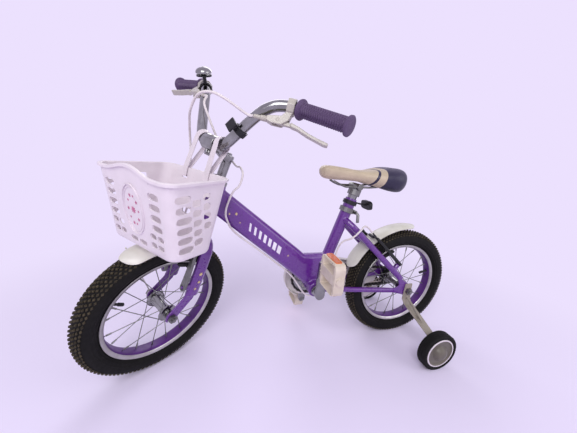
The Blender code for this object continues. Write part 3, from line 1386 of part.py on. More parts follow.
def chain_path():
    """The chain's middle line as (place, angle) at each pin, over the two pitch circles."""
    front_radius = CHAIN_PITCH / (2 * math.sin(math.pi / CHAINRING_TEETH))
    rear_radius = CHAIN_PITCH / (2 * math.sin(math.pi / SPROCKET_TEETH))
    front, rear = Vector((BB.x, BB.z)), Vector((AXLE.x, AXLE.z))
    between = front - rear
    slope = math.atan2(between.y, between.x)
    lean = math.acos((rear_radius - front_radius) / between.length)
    run = math.sqrt(between.length**2 - (front_radius - rear_radius) ** 2)
    upper, lower = slope + lean, slope - lean
    parts = [run, rear_radius * (2 * math.pi - 2 * lean), run, front_radius * 2 * lean]
    count = round(sum(parts) / CHAIN_PITCH)

    def place(length):
        if length < parts[0]:
            way = Vector((math.cos(upper), math.sin(upper)))
            start, end = front + way * front_radius, rear + way * rear_radius
            return start.lerp(end, length / run), upper
        length -= parts[0]
        if length < parts[1]:
            turn = upper + length / rear_radius
            return rear + Vector((math.cos(turn), math.sin(turn))) * rear_radius, turn
        length -= parts[1]
        if length < parts[2]:
            way = Vector((math.cos(lower), math.sin(lower)))
            start, end = rear + way * rear_radius, front + way * front_radius
            return start.lerp(end, length / run), lower
        turn = lower + (length - parts[2]) / front_radius
        return front + Vector((math.cos(turn), math.sin(turn))) * front_radius, turn

    return place, sum(parts), count, parts


def tooth_phase(front):
    """The angle of the chain pin nearest to the middle of its wrap round one of the toothed wheels."""
    place, total, count, parts = chain_path()
    middle = sum(parts[:3]) + parts[3] / 2 if front else parts[0] + parts[1] / 2
    nearest = round(middle / total * count) * total / count
    return place(nearest)[1]


def build_chain():
    """Two side bands with a rung at each pin where teeth stand in it, and closed links between."""
    place, total, count, parts = chain_path()
    outer, inner = CHAIN_HALF_WIDTH, CHAIN_HALF_WIDTH - CHAIN_BAND
    pitch = total / count
    bm = bmesh.new()

    def station(length, sides):
        """Lower and upper corners across the chain at one place along it."""
        middle, turn = place(length % total)
        way = Vector((math.cos(turn), 0.0, math.sin(turn))) * CHAIN_HALF_HEIGHT
        centre = Vector((middle.x, CHAIN_SIDE, middle.y))
        low, high = centre - way, centre + way
        return [(bm.verts.new(low + SIDE * side), bm.verts.new(high + SIDE * side)) for side in sides]

    def away_from_teeth(length):
        """Whether a place lies on a straight run, at least two links from both toothed wheels."""
        lower_run = parts[0] + parts[1]
        return any(start + 2.2 * pitch < length < start + parts[0] - 2.2 * pitch for start in (0.0, lower_run))

    closed = [away_from_teeth(k * pitch) and away_from_teeth((k + 1) * pitch) for k in range(count)]
    kept = [k for k in range(count) if not (closed[k] and closed[k - 1])]
    firsts = [station(k * pitch - CHAIN_RUNG_HALF, (-outer, -inner, inner, outer)) for k in kept]
    for i, k in enumerate(kept):
        first, after = firsts[i], firsts[(i + 1) % len(kept)]
        for edge in (0, 3):
            bm.faces.new([first[edge][0], first[edge][1], after[edge][1], after[edge][0]])
        if closed[k]:
            for level in (0, 1):
                for j in range(3):
                    corners = (first[j], first[j + 1], after[j + 1], after[j])
                    bm.faces.new([corner[level] for corner in corners])
            continue
        second = station(k * pitch + CHAIN_RUNG_HALF, (-inner, inner))
        for edge, lip, far in ((0, 1, 0), (3, 2, 1)):
            bm.faces.new([second[far][0], second[far][1], after[lip][1], after[lip][0]])
            for level in (0, 1):
                corners = (first[edge], first[lip], second[far], after[lip], after[edge])
                bm.faces.new([corner[level] for corner in corners])
        for level in (0, 1):
            bm.faces.new([first[1][level], first[2][level], second[1][level], second[0][level]])
        bm.faces.new([second[0][0], second[0][1], second[1][1], second[1][0]])
    for i, k in enumerate(kept):
        if not closed[kept[i - 1]]:
            first = firsts[i]
            bm.faces.new([first[1][0], first[1][1], first[2][1], first[2][0]])
    bmesh.ops.recalc_face_normals(bm, faces=bm.faces)
    return solid("chain", bm, BLACK_STEEL)


def toothed_outline(centre, teeth, phase):
    """A sprocket's edge: a low valley at each pin and a tapered tooth between two."""
    radius = CHAIN_PITCH / (2 * math.sin(math.pi / teeth))
    step = 2 * math.pi / teeth
    valley = CHAIN_RUNG_HALF + 0.0006
    outline = []
    for k in range(teeth):
        turn = phase + step * k
        for r, shift in (
            (radius - CHAIN_HALF_HEIGHT - 0.0006, -valley / radius),
            (radius - CHAIN_HALF_HEIGHT - 0.0006, valley / radius),
            (radius + 0.0030, step / 2 - 0.0011 / radius),
            (radius + 0.0030, step / 2 + 0.0011 / radius),
        ):
            outline.append((centre[0] + r * math.cos(turn + shift), centre[1] + r * math.sin(turn + shift)))
    return outline


def build_chainring():
    """The toothed ring on the crank, with a ring of round windows."""
    flat = axes(SIDE * CHAIN_SIDE, Vector((1, 0, 0)), Vector((0, 0, 1)))
    middle = (BB.x, BB.z)
    holes = [arc(middle, CRANK_AXLE_RADIUS + RUNNING_GAP, 0.0, -2 * math.pi * 11 / 12, 11)]
    for k in range(5):
        turn = 2 * math.pi * k / 5
        eye = (BB.x + 0.0275 * math.cos(turn), BB.z + 0.0275 * math.sin(turn))
        holes.append(arc(eye, 0.0085, 0.0, -2 * math.pi * 7 / 8, 7))
    outline = toothed_outline(middle, CHAINRING_TEETH, tooth_phase(True))
    return solid("chainring", plate(outline, -0.0015, 0.0015, flat, holes), CHROME)


def build_sprocket():
    """The freewheel's body with its toothed ring, beside the hub."""
    flat = axes(SIDE * CHAIN_SIDE, Vector((1, 0, 0)), Vector((0, 0, 1)))
    middle = (AXLE.x, AXLE.z)
    outline = toothed_outline(middle, SPROCKET_TEETH, tooth_phase(False))
    bore = AXLE_RADIUS + RUNNING_GAP
    hole = arc(middle, bore + 0.0030, 0.0, -2 * math.pi * 7 / 8, 7)
    near = HUB_RIGHT_END + GAP
    body = [(bore, -near), (0.0170, -near), (0.0170, CHAIN_SIDE - 0.0040), (bore, CHAIN_SIDE - 0.0040)]
    shapes = [
        turned(body, AXLE, SIDE, 8, hollow=True),
        plate(outline, -0.0015, 0.0015, flat, [hole]),
    ]
    return fused("sprocket", shapes, BLACK_STEEL)


def crank_arm(side_place, up):
    """A flat arm that narrows from the spindle to the pedal's eye."""
    foot = arc((0.0, 0.0), 0.0135, math.pi, 2 * math.pi, 6)
    tip = arc((0.0, CRANK_LENGTH), 0.0105, 0.0, math.pi, 6)
    flat = axes(BB + SIDE * side_place, Vector((1, 0, 0)), Vector((0, 0, 1 if up else -1)))
    return plate(foot + tip, -ARM_PLATE / 2, ARM_PLATE / 2, flat)


def build_crank():
    """The spindle with its two arms, the left one up and the right one down."""
    eye_radius = PEDAL_SPINDLE_RADIUS + 0.0006
    shapes = [
        rod(BB + SIDE * RIGHT_ARM_SIDE, BB + SIDE * LEFT_ARM_SIDE, CRANK_AXLE_RADIUS, 12),
        crank_arm(LEFT_ARM_SIDE, True),
        crank_arm(RIGHT_ARM_SIDE, False),
        rod(BB + SIDE * (BB_HALF_WIDTH + GAP), BB + SIDE * (BB_HALF_WIDTH + 0.0060), 0.0150, 8),
    ]
    cuts = []
    for side_place, drop in ((LEFT_ARM_SIDE, CRANK_LENGTH), (RIGHT_ARM_SIDE, -CRANK_LENGTH)):
        eye = BB + Vector((0.0, side_place, drop))
        cuts.append(rod(eye - SIDE * 0.02, eye + SIDE * 0.02, eye_radius, 10))
    return fused("crank", shapes, CHROME, cuts)


def pedal_eye(side):
    """The middle of the pedal's eye on the outer face of its crank arm."""
    arm = LEFT_ARM_SIDE if side > 0 else RIGHT_ARM_SIDE
    return BB + Vector((0.0, arm + ARM_PLATE / 2 * side, CRANK_LENGTH * side))


def build_pedal_spindle(side):
    """The pedal's spindle: its threaded end in the arm, a collar and a thin shaft in the pedal."""
    eye = pedal_eye(side)
    profile = [
        (PEDAL_SPINDLE_RADIUS, -ARM_PLATE),
        (PEDAL_SPINDLE_RADIUS, GAP),
        (0.0080, GAP),
        (0.0080, PEDAL_COLLAR),
        (PEDAL_SHAFT_RADIUS, PEDAL_COLLAR),
        (PEDAL_SHAFT_RADIUS, PEDAL_COLLAR + PEDAL_WIDTH - 0.0060),
    ]
    name = "pedal_spindle_left" if side > 0 else "pedal_spindle_right"
    return solid(name, turned(profile, eye, SIDE * side, 10), CHROME)


def build_pedal(side):
    """A moulded platform round its barrel, with windows above and below it; it hangs upright."""
    eye = pedal_eye(side)
    inner = eye + SIDE * ((PEDAL_COLLAR + RUNNING_GAP) * side)
    middle = inner + SIDE * (PEDAL_WIDTH / 2 * side)
    flat = axes(middle, SIDE, Vector((0, 0, 1)))
    wide, tall = PEDAL_WIDTH / 2, PEDAL_HALF_LENGTH
    outline = ellipse(wide, tall, 12, 7.0)
    windows = []
    for row in (-1, 1):
        window = box_section(wide - PEDAL_WALL * 1.6, (tall - PEDAL_BARREL) / 2 - PEDAL_WALL / 2)
        windows.append([(a, row * (tall + PEDAL_BARREL) / 2 + b) for a, b in window])
    body = plate(outline, -PEDAL_HALF_THICKNESS, PEDAL_HALF_THICKNESS, flat, windows)
    barrel = rod(inner, inner + SIDE * ((PEDAL_WIDTH + 0.0040) * side), PEDAL_BARREL, 10)
    bore = rod(inner - SIDE * (0.01 * side), inner + SIDE * ((PEDAL_WIDTH - 0.0050) * side), PEDAL_SHAFT_RADIUS + 0.0006, 10)
    name = "pedal_left" if side > 0 else "pedal_right"
    return fused(name, [body, barrel], WHITE_PLASTIC, [bore])


def build_saddle():
    """A child's saddle: a slim nose, drawn-in flanks and a wide padded rear with a raised crown."""
    stations = [
        (0.000, 0.0060, 0.0190, 0.0100),
        (0.030, 0.0150, 0.0235, 0.0030),
        (0.100, 0.0205, 0.0255, 0.0005),
        (0.250, 0.0230, 0.0250, 0.0000),
        (0.420, 0.0270, 0.0255, 0.0000),
        (0.550, 0.0390, 0.0285, -0.0010),
        (0.660, 0.0540, 0.0330, -0.0025),
        (0.780, SADDLE_HALF_WIDTH, 0.0365, -0.0030),
        (0.890, SADDLE_HALF_WIDTH * 0.93, 0.0365, -0.0020),
        (0.965, SADDLE_HALF_WIDTH * 0.68, 0.0320, 0.0030),
        (1.000, SADDLE_HALF_WIDTH * 0.30, 0.0250, 0.0110),
    ]
    nose_x = on_seat_tube(POST_TOP_ALONG).x + SADDLE_NOSE_REACH
    base = on_seat_tube(POST_TOP_ALONG).z + SADDLE_RISE
    rings = []
    for share, half_width, top, bottom in stations:
        ring = []
        for a, b in ellipse(1.0, 1.0, 14, 2.5):
            height = (top + bottom) / 2 + (top - bottom) / 2 * b
            sag = 0.10 * (top - bottom) * (1 - abs(a)) if b > 0 else 0.0
            wide = half_width * a * (1.0 if b > 0 else 0.86)
            ring.append(Vector((nose_x - SADDLE_LENGTH * share, wide, base + height - sag)))
        rings.append(ring)
    return solid("saddle", skin(rings), PURPLE_VINYL)


def build_saddle_rails():
    """The two rails under the saddle and the clamp that holds them on the seatpost."""
    top = on_seat_tube(POST_TOP_ALONG)
    base = top.z + SADDLE_RISE - 0.0030 - GAP
    clamp = on_seat_tube(POST_TOP_ALONG - 0.0065)
    level = base - 0.0120
    shapes = [
        rod(clamp - SEAT_UP * 0.0100, clamp + SEAT_UP * 0.0095, 0.0175, 12),
        rod(Vector((top.x, -0.0270, level)), Vector((top.x, 0.0270, level)), 0.0085, 10),
        block(axes(Vector((top.x + 0.0015, 0.0, level - 0.0060)), Vector((1, 0, 0)), SIDE), 0.0130, 0.0120, 0.0025),
    ]
    for side in (1, -1):
        path = curve_through(
            [
                Vector((top.x + 0.0750, 0.0110 * side, base + 0.0010)),
                Vector((top.x + 0.0600, 0.0150 * side, base - 0.0060)),
                Vector((top.x + 0.0420, 0.0200 * side, level)),
                Vector((top.x - 0.0300, 0.0210 * side, level)),
                Vector((top.x - 0.0550, 0.0260 * side, level + 0.0030)),
                Vector((top.x - 0.0680, 0.0300 * side, base - 0.0022)),
            ],
            1,
        )
        shapes.append(sweep(path, ellipse(0.0032, 0.0032, 6), SIDE))
    room = rod(clamp - SEAT_UP * 0.0200, top + SEAT_UP * GAP, SEATPOST_RADIUS + POST_CLEARANCE, 12)
    return fused("saddle_rails", shapes, BLACK_STEEL, [room])


def build_seatpost():
    foot, top = on_seat_tube(POST_TOP_ALONG - POST_INSERT), on_seat_tube(POST_TOP_ALONG)
    return solid("seatpost", rod(foot, top, SEATPOST_RADIUS, 12), CHROME)


def build_seat_clamp():
    """A split collar round the top of the seat tube with a bolt and a short lever at its back."""
    middle = on_seat_tube(SEAT_CLAMP_ALONG)
    back = SEAT_UP.cross(SIDE)
    if back.x > 0:
        back = -back
    lug = middle + back * (SEAT_TUBE_RADIUS + 0.0090)
    lever = [
        lug + SIDE * 0.0160,
        lug + SIDE * 0.0195 + back * 0.0040 - SEAT_UP * 0.0040,
        lug + SIDE * 0.0200 + back * 0.0120 - SEAT_UP * 0.0240,
    ]
    shapes = [
        tube_ring(middle, SEAT_UP, 0.0065, SEAT_TUBE_RADIUS + 0.0045, SEAT_TUBE_RADIUS + GAP, 12),
        block(axes(middle + back * (SEAT_TUBE_RADIUS + 0.0075), back, SIDE), 0.0065, 0.0080, 0.0055),
        rod(lug - SIDE * 0.0150, lug + SIDE * 0.0170, 0.0035, 8),
        sweep(lever, ellipse(0.0050, 0.0022, 8), back),
    ]
    slit = block(axes(middle + back * (SEAT_TUBE_RADIUS + 0.0120), back, SIDE), 0.0080, 0.0012, 0.0100)
    halves = fused("seat_clamp", shapes[:2], CHROME, [slit])
    joined = bmesh.new()
    joined.from_mesh(halves.data)
    bpy.data.objects.remove(halves, do_unlink=True)
    return fused("seat_clamp", [joined, *shapes[2:]], CHROME)


def build_rear_reflector():
    """A reflector's housing behind the seat tube, on a collar of its own."""
    middle = on_seat_tube(REFLECTOR_ALONG)
    housing = Vector((middle.x - REFLECTOR_REACH, 0.0, middle.z + REFLECTOR_RISE))
    flat = axes(housing, SIDE, Vector((0.10, 0.0, 1.0)))
    shapes = [
        tube_ring(middle, SEAT_UP, 0.0055, SEAT_TUBE_RADIUS + 0.0035, SEAT_TUBE_RADIUS + GAP, 12),
        sweep(
            [middle - Vector((SEAT_TUBE_RADIUS + 0.0015, 0.0, 0.0)), housing.lerp(middle, 0.5), housing],
            box_section(0.0060, 0.0020),
            SIDE,
        ),
        plate(ellipse(0.0235, 0.0125, 12, 4.0), -0.0045, 0.0045, flat),
    ]
    return fused("rear_reflector", shapes, BLACK_PLASTIC)


TRAINER_HEIGHT = TRAINER_RADIUS


def build_training_bracket(side):
    """A bent flat bar from the rear axle out to the training wheel, with a diagonal brace and its bolt."""
    inner = DROPOUT_SIDE + DROPOUT_THICKNESS / 2 + GAP
    near = inner + BRACKET_PLATE / 2
    foot = TRAINER_SIDE - TRAINER_HUB_INNER - GAP - BRACKET_PLATE / 2
    reach = foot - near
    path = [
        Vector((0.0, near, AXLE.z + 0.0240)),
        Vector((0.0, near, AXLE.z - 0.0260)),
        Vector((TRAINER_X * 0.15, near + reach * 0.06, AXLE.z - 0.0400)),
        Vector((TRAINER_X * 0.85, near + reach * 0.93, TRAINER_HEIGHT + 0.0300)),
        Vector((TRAINER_X, foot, TRAINER_HEIGHT + 0.0180)),
        Vector((TRAINER_X, foot, TRAINER_HEIGHT - 0.0150)),
    ]
    half_widths = [0.0120, 0.0150, 0.0145, 0.0125, 0.0125, 0.0110]
    sections = [box_section(w, BRACKET_PLATE / 2) for w in half_widths]
    strip = sweep(path, sections, Vector((1, 0, 0)))
    brace = sweep(
        [
            Vector((0.0, near + 0.0005, AXLE.z - 0.0180)),
            Vector((TRAINER_X * 0.30, near + reach * 0.36, AXLE.z - 0.0440)),
            path[3].lerp(path[2], 0.25) + Vector((0.0, 0.0, 0.0010)),
        ],
        box_section(0.0030, BRACKET_PLATE / 2),
        Vector((1, 0, 0)),
    )
    bolt_foot = Vector((TRAINER_X, foot - BRACKET_PLATE / 2 - 0.0060, TRAINER_HEIGHT))
    bolt_end = Vector((TRAINER_X, TRAINER_SIDE + TRAINER_BORE_END - RUNNING_GAP, TRAINER_HEIGHT))
    shapes = [
        strip,
        brace,
        rod(bolt_foot, bolt_end, TRAINER_AXLE_RADIUS, 12),
        rod(bolt_foot, bolt_foot + SIDE * 0.0065, 0.0090, 6),
    ]
    if side < 0:
        shapes = [mirrored(shape) for shape in shapes]
    middle = AXLE + SIDE * (near * side)
    eye = rod(middle - SIDE * 0.01, middle + SIDE * 0.01, SLOT_HALF_WIDTH, 12)
    name = "training_bracket_left" if side > 0 else "training_bracket_right"
    return fused(name, shapes, WHITE_PLASTIC, [eye])


def build_training_wheel(side):
    """A solid tyre on a moulded hub, whose domed cap covers the bolt's end."""
    centre = Vector((TRAINER_X, TRAINER_SIDE * side, TRAINER_HEIGHT))
    down = Vector((0.0, 0.0, -1.0))
    wide, hub = TRAINER_HALF_WIDTH, TRAINER_HUB_RADIUS
    suffix = "left" if side > 0 else "right"
    tyre = [
        (hub + GAP, -wide + 0.0020),
        (hub + 0.0040, -wide),
        (TRAINER_RADIUS - 0.0030, -wide),
        (TRAINER_RADIUS, -wide + 0.0045),
        (TRAINER_RADIUS, wide - 0.0045),
        (TRAINER_RADIUS - 0.0030, wide),
        (hub + 0.0040, wide),
        (hub + GAP, wide - 0.0020),
    ]
    bore = TRAINER_AXLE_RADIUS + 0.0006
    profile = [
        (0.0, TRAINER_BORE_END),
        (bore, TRAINER_BORE_END),
        (bore, -TRAINER_HUB_INNER),
        (0.0130, -TRAINER_HUB_INNER),
        (0.0150, -wide + 0.0060),
        (hub, -wide + 0.0035),
        (hub, wide - 0.0015),
        (hub - 0.0060, wide - 0.0045),
        (0.0210, wide - 0.0040),
        (0.0180, wide + 0.0040),
        (0.0110, wide + 0.0085),
        (0.0, wide + 0.0095),
    ]
    way = SIDE * side
    ring = solid("training_tyre_" + suffix, turned(tyre, centre, way, TRAINER_FACETS, down, True), BLACK_RUBBER)
    disc = solid("training_hub_" + suffix, turned(profile, centre, way, TRAINER_FACETS, down), WHITE_PLASTIC)
    return ring, disc


def cable(name, points, spacing):
    """A cable's casing along a smooth curve through its route's points."""
    fine = curve_through(points, 12)
    lengths = [0.0]
    for first, second in zip(fine, fine[1:]):
        lengths.append(lengths[-1] + (second - first).length)
    count = max(2, round(lengths[-1] / spacing))
    curve = bpy.data.curves.new(name, "CURVE")
    curve.dimensions = "3D"
    curve.bevel_depth = CABLE_RADIUS
    curve.bevel_resolution = 1
    curve.use_fill_caps = True
    spline = curve.splines.new("POLY")
    spline.points.add(count)
    at = 0
    for k in range(count + 1):
        target = lengths[-1] * k / count
        while at < len(fine) - 2 and lengths[at + 1] < target:
            at += 1
        share = (target - lengths[at]) / (lengths[at + 1] - lengths[at])
        spline.points[k].co = (*fine[at].lerp(fine[at + 1], min(share, 1.0)), 1.0)
    curve.materials.append(WHITE_PLASTIC)
    made = bpy.data.objects.new(name, curve)
    bpy.context.collection.objects.link(made)
    return made, lengths[-1]


def steered(point):
    """Where a point of the steered parts lies once the front is turned."""
    return HEAD_FOOT + STEERING @ (point - HEAD_FOOT)


def inlet_route(front, side):
    """The last points of a cable, straight into the bent pipe of its brake."""
    at, _, _, _, _, boss_along = brake_frame(front)
    high = boss_along + ARM_LENGTH + INLET_RISE + GAP
    return [at(high + rise, ARM_OUT, INLET_SIDE * side) for rise in (0.0220, 0.0)]


def front_cable_route():
    start = lever_place(1) @ (BARREL_TIP - Vector((CABLE_START, 0.0, 0.0)))
    run_on = lever_place(1) @ (BARREL_TIP - Vector((0.0140, 0.0, 0.0)))
    between = [
        on_head(0.4850, 0.1030, 0.0560),
        on_head(0.4860, 0.1180, 0.0300),
        on_head(0.4740, 0.1240, 0.0050),
        on_head(0.4450, 0.1130, -0.0200),
        on_head(0.4220, 0.0910, -0.0440),
        on_head(0.4000, 0.0740, -0.0560),
        on_head(0.3650, 0.0580, -0.0570),
        on_head(0.3150, 0.0440, -0.0520),
        on_head(0.2680, 0.0340, -0.0455),
    ]
    return [start, run_on, *between, *inlet_route(True, -1)]


def rear_cable_route():
    """From the steered right lever round behind the stem, under the main tube and up to the rear brake."""
    start = lever_place(-1) @ (BARREL_TIP - Vector((CABLE_START, 0.0, 0.0)))
    run_on = lever_place(-1) @ (BARREL_TIP - Vector((0.0140, 0.0, 0.0)))
    turned_part = [
        start,
        run_on,
        on_head(0.4740, 0.0660, -0.0560),
        on_head(0.4460, 0.0500, -0.0400),
        on_head(0.4200, 0.0290, -0.0290),
        on_head(0.4000, 0.0100, -0.0260),
    ]
    tube_under = [
        on_head(0.3860, -0.0040, -0.0250),
        on_head(0.3740, -0.0250, -0.0080),
        on_head(0.3750, -0.0330, 0.0150),
        on_head(0.3630, -0.0420, 0.0290),
        on_head(0.3360, -0.0440, 0.0290),
        Vector((0.5350, 0.0255, 0.4610)),
        Vector((0.5490, 0.0245, 0.4200)),
        Vector((0.5450, 0.0240, 0.3920)),
        Vector((0.5240, 0.0120, 0.3575)),
        Vector((0.4600, 0.0040, 0.3045)),
        Vector((0.3900, 0.0030, 0.2480)),
        Vector((0.3560, 0.0030, 0.2140)),
        Vector((0.3180, 0.0040, 0.1620)),
        Vector((0.2860, 0.0060, 0.1560)),
        Vector((0.2570, 0.0090, 0.1720)),
        Vector((0.2470, 0.0110, 0.2150)),
        Vector((0.2430, 0.0200, 0.2700)),
        Vector((0.2400, 0.0250, 0.3100)),
        Vector((0.2320, 0.0340, 0.3350)),
        Vector((0.2130, 0.0480, 0.3500)),
        Vector((0.1930, 0.0510, 0.3710)),
        Vector((0.1790, 0.0460, 0.3820)),
    ]
    return [steered(p) for p in turned_part] + tube_under + inlet_route(False, 1)


# The frame and what is fixed to it
build_frame()
build_chain_guard()
build_rear_fender()
build_seat_clamp()
build_rear_reflector()
cone_inner, cone_outer = HUB_END_SIDE + GAP, DROPOUT_SIDE - DROPOUT_THICKNESS / 2 - GAP
plate_outer = DROPOUT_SIDE + DROPOUT_THICKNESS / 2 + GAP + BRACKET_PLATE
axle_with_nuts(
    "rear_axle",
    AXLE,
    plate_outer + 0.0120,
    [(cone_inner, cone_outer, 0.0080, 8), (-cone_outer, CHAIN_SIDE - 0.0043, 0.0080, 8)],
    [(plate_outer + GAP, plate_outer + 0.0085, AXLE_NUT_RADIUS, 6), (-plate_outer - 0.0085, -plate_outer - GAP, AXLE_NUT_RADIUS, 6)],
    CHROME,
)
for wheel_side in (1, -1):
    build_training_bracket(wheel_side)
rear_cable, rear_cable_length = cable("rear_brake_cable", rear_cable_route(), CABLE_STEP)

# What turns with the steering
steering_joint = joint_empty("steering", HEAD_FOOT)
lower_race, upper_race = build_headset()
front_cable, front_cable_length = cable("front_brake_cable", front_cable_route(), CABLE_STEP)
tab_outer = FORK_TAB_SIDE + FORK_TAB_THICKNESS / 2
front_cone = FORK_TAB_SIDE - FORK_TAB_THICKNESS / 2 - GAP
eye_room = 0.0016 + 2 * GAP
front_axle = axle_with_nuts(
    "front_axle",
    FRONT_AXLE,
    tab_outer + eye_room + 0.0100,
    [(cone_inner, front_cone, 0.0080, 8), (-front_cone, -cone_inner, 0.0080, 8)],
    [
        (tab_outer + GAP, tab_outer + 0.0080, AXLE_NUT_RADIUS, 6),
        (-tab_outer - eye_room - 0.0080, -tab_outer - eye_room, AXLE_NUT_RADIUS, 6),
    ],
    CHROME,
)
steered_pieces = [
    build_fork(),
    upper_race,
    build_stem(),
    build_stem_bolt(),
    build_handlebar(),
    build_grip(1),
    build_grip(-1),
    build_lever_perch(1),
    build_lever_perch(-1),
    build_reflector_bracket(),
    build_basket(),
    build_strap(1),
    build_strap(-1),
    build_front_fender(),
    front_axle,
]
bell_base, bell_dome, bell_lever = build_bell()
hang([*steered_pieces, bell_base, bell_dome, front_cable], steering_joint)
bell_foot, _, bell_up = bell_place()
hang([bell_lever], joint_empty("bell_joint", bell_foot, steering_joint))

# The wheels
front_wheel = joint_empty("front_wheel", FRONT_AXLE, steering_joint)
hang(
    [
        wheel_tyre("front_tyre", FRONT_AXLE, DOWN_WHEN_STEERED),
        wheel_rim("front_rim", FRONT_AXLE, DOWN_WHEN_STEERED),
        laced_hub("front_hub", FRONT_AXLE, DOWN_WHEN_STEERED, FRONT_FLANGE_SIDE, FRONT_FLANGE_SIDE, HUB_END_SIDE),
    ],
    front_wheel,
)
rear_wheel = joint_empty("rear_wheel", AXLE)
straight_down = Vector((0.0, 0.0, -1.0))
hang(
    [
        wheel_tyre("rear_tyre", AXLE, straight_down),
        wheel_rim("rear_rim", AXLE, straight_down),
        laced_hub("rear_hub", AXLE, straight_down, REAR_LEFT_FLANGE_SIDE, REAR_RIGHT_FLANGE_SIDE, HUB_RIGHT_END),
    ],
    rear_wheel,
)

# The brakes
for is_front, end_name in ((True, "front"), (False, "rear")):
    carrier = steering_joint if is_front else None
    point_at, _, _, _, _, boss_height = brake_frame(is_front)
    for arm_side, side_name in ((1, "left"), (-1, "right")):
        holds_cable = arm_side == (-1 if is_front else 1)
        arm = build_brake_arm(f"{end_name}_brake_arm_{side_name}", is_front, arm_side, holds_cable)
        pad = build_brake_pad(f"{end_name}_brake_pad_{side_name}", is_front, arm_side)
        pivot = joint_empty(
            f"{end_name}_brake_{side_name}", point_at(boss_height, ARM_OUT, BOSS_SIDE * arm_side), carrier
        )
        hang([arm, pad], pivot)
for lever_side, side_name in ((1, "left"), (-1, "right")):
    pivot = joint_empty(f"lever_joint_{side_name}", lever_place(lever_side) @ LEVER_PIVOT, steering_joint)
    hang([build_brake_lever(lever_side)], pivot)
steering_joint.rotation_mode = "QUATERNION"
steering_joint.rotation_quaternion = STEERING

# The drive train
crank_joint = joint_empty("crank_joint", BB)
hang([build_crank(), build_chainring(), build_pedal_spindle(1), build_pedal_spindle(-1)], crank_joint)
for pedal_side in (1, -1):
    pedal_joint = joint_empty("pedal_joint", pedal_eye(pedal_side), crank_joint)
    hang([build_pedal(pedal_side)], pedal_joint)
hang([build_sprocket()], joint_empty("sprocket_joint", AXLE))
build_chain()

# The saddle slides on its post
post_joint = joint_empty("seatpost_joint", on_seat_tube(POST_TOP_ALONG))
hang([build_saddle(), build_saddle_rails(), build_seatpost()], post_joint)

# The training wheels
for trainer_side in (1, -1):
    trainer_joint = joint_empty("training_joint", Vector((TRAINER_X, TRAINER_SIDE * trainer_side, TRAINER_HEIGHT)))
    hang(build_training_wheel(trainer_side), trainer_joint)

print(f"front cable {front_cable_length * 1000:.0f} mm, rear cable {rear_cable_length * 1000:.0f} mm")
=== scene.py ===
"""Dresses a child's bicycle with a basket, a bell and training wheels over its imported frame."""

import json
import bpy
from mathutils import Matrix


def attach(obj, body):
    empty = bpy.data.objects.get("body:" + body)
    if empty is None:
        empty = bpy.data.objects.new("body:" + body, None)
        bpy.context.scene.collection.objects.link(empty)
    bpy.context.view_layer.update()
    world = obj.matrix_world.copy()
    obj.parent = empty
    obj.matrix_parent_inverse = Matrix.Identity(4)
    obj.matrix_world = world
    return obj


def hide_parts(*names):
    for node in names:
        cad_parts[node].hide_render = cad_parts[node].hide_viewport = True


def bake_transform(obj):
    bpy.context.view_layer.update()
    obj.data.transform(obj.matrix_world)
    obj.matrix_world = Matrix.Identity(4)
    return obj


bl_info = {
    "name": "Child's Bicycle Dressing",
    "version": (1, 0, 0),
    "blender": (4, 5, 0),
    "location": "View3D > Sidebar > Bicycle",
    "description": "Wheels, basket, saddle, cockpit and finishes of a child's bicycle",
    "category": "Object",
}

from math import acos, atan2, copysign, cos, hypot, pi, radians, sin, sqrt, tau

import bmesh
import bpy
from mathutils import Matrix, Quaternion, Vector, geometry

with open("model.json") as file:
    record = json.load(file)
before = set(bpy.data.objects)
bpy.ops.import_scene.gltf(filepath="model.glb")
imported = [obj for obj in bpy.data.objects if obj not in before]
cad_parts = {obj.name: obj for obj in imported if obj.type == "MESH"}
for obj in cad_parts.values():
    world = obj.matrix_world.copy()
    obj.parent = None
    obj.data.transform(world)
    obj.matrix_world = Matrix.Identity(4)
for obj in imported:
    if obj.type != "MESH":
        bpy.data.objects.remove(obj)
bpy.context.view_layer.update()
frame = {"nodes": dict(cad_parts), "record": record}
NODES = frame["nodes"]
BODY_OF = {node: body for body, nodes in frame["record"]["behaviour"]["bodies"].items() for node in nodes}

# Sizes and places, as in the frame, in metres
SIDE = Vector((0.0, 1.0, 0.0))
FORWARD = Vector((1.0, 0.0, 0.0))
UP = Vector((0.0, 0.0, 1.0))
BOTH_SIDES = ((1, "left"), (-1, "right"))
TYRE_RADIUS = 0.177
AXLE = Vector((0.0, 0.0, TYRE_RADIUS))
BB = Vector((0.297, 0.0, 0.19))
HEAD_FOOT = Vector((0.6714, 0.0, TYRE_RADIUS))
HEAD_UP = Vector((-0.328372, 0.0, 0.944548))
HEAD_OUT = Vector((0.944548, 0.0, 0.328372))
SEAT_FOOT = BB + Vector((-0.011, 0.0, 0.0))
SEAT_UP = Vector((-0.297375, 0.0, 0.954761))
BAR_TURN = radians(37.1)
STEERED = (
    Matrix.Translation(HEAD_FOOT)
    @ Quaternion(HEAD_UP, BAR_TURN).to_matrix().to_4x4()
    @ Matrix.Translation(-HEAD_FOOT)
)
FRONT_AXLE = Vector((0.706382, 0.0, 0.177786))
AXLE_ALONG, FORK_RAKE = -0.010744, 0.0333
RIM_RADIUS = 0.1339
RIM_HALF_WIDTH = 0.0175
RIM_BED = RIM_RADIUS - 0.0105
HUB_FLANGE = 0.03
SPOKES, SPOKE_CIRCLE = 20, 0.0192
BAR_RADIUS = 0.0111
BAR_ALONG, BAR_OUT = 0.4016, 0.0546
GRIP_START, BAR_HALF = 0.16, 0.267
GRIP_RADIUS, RIB_HEIGHT, RIB_WAVE = 0.0131, 0.0012, 0.0013
BELL_SIDE, LEVER_SIDE = -0.121, 0.143
CHAIN_PITCH = 0.0127
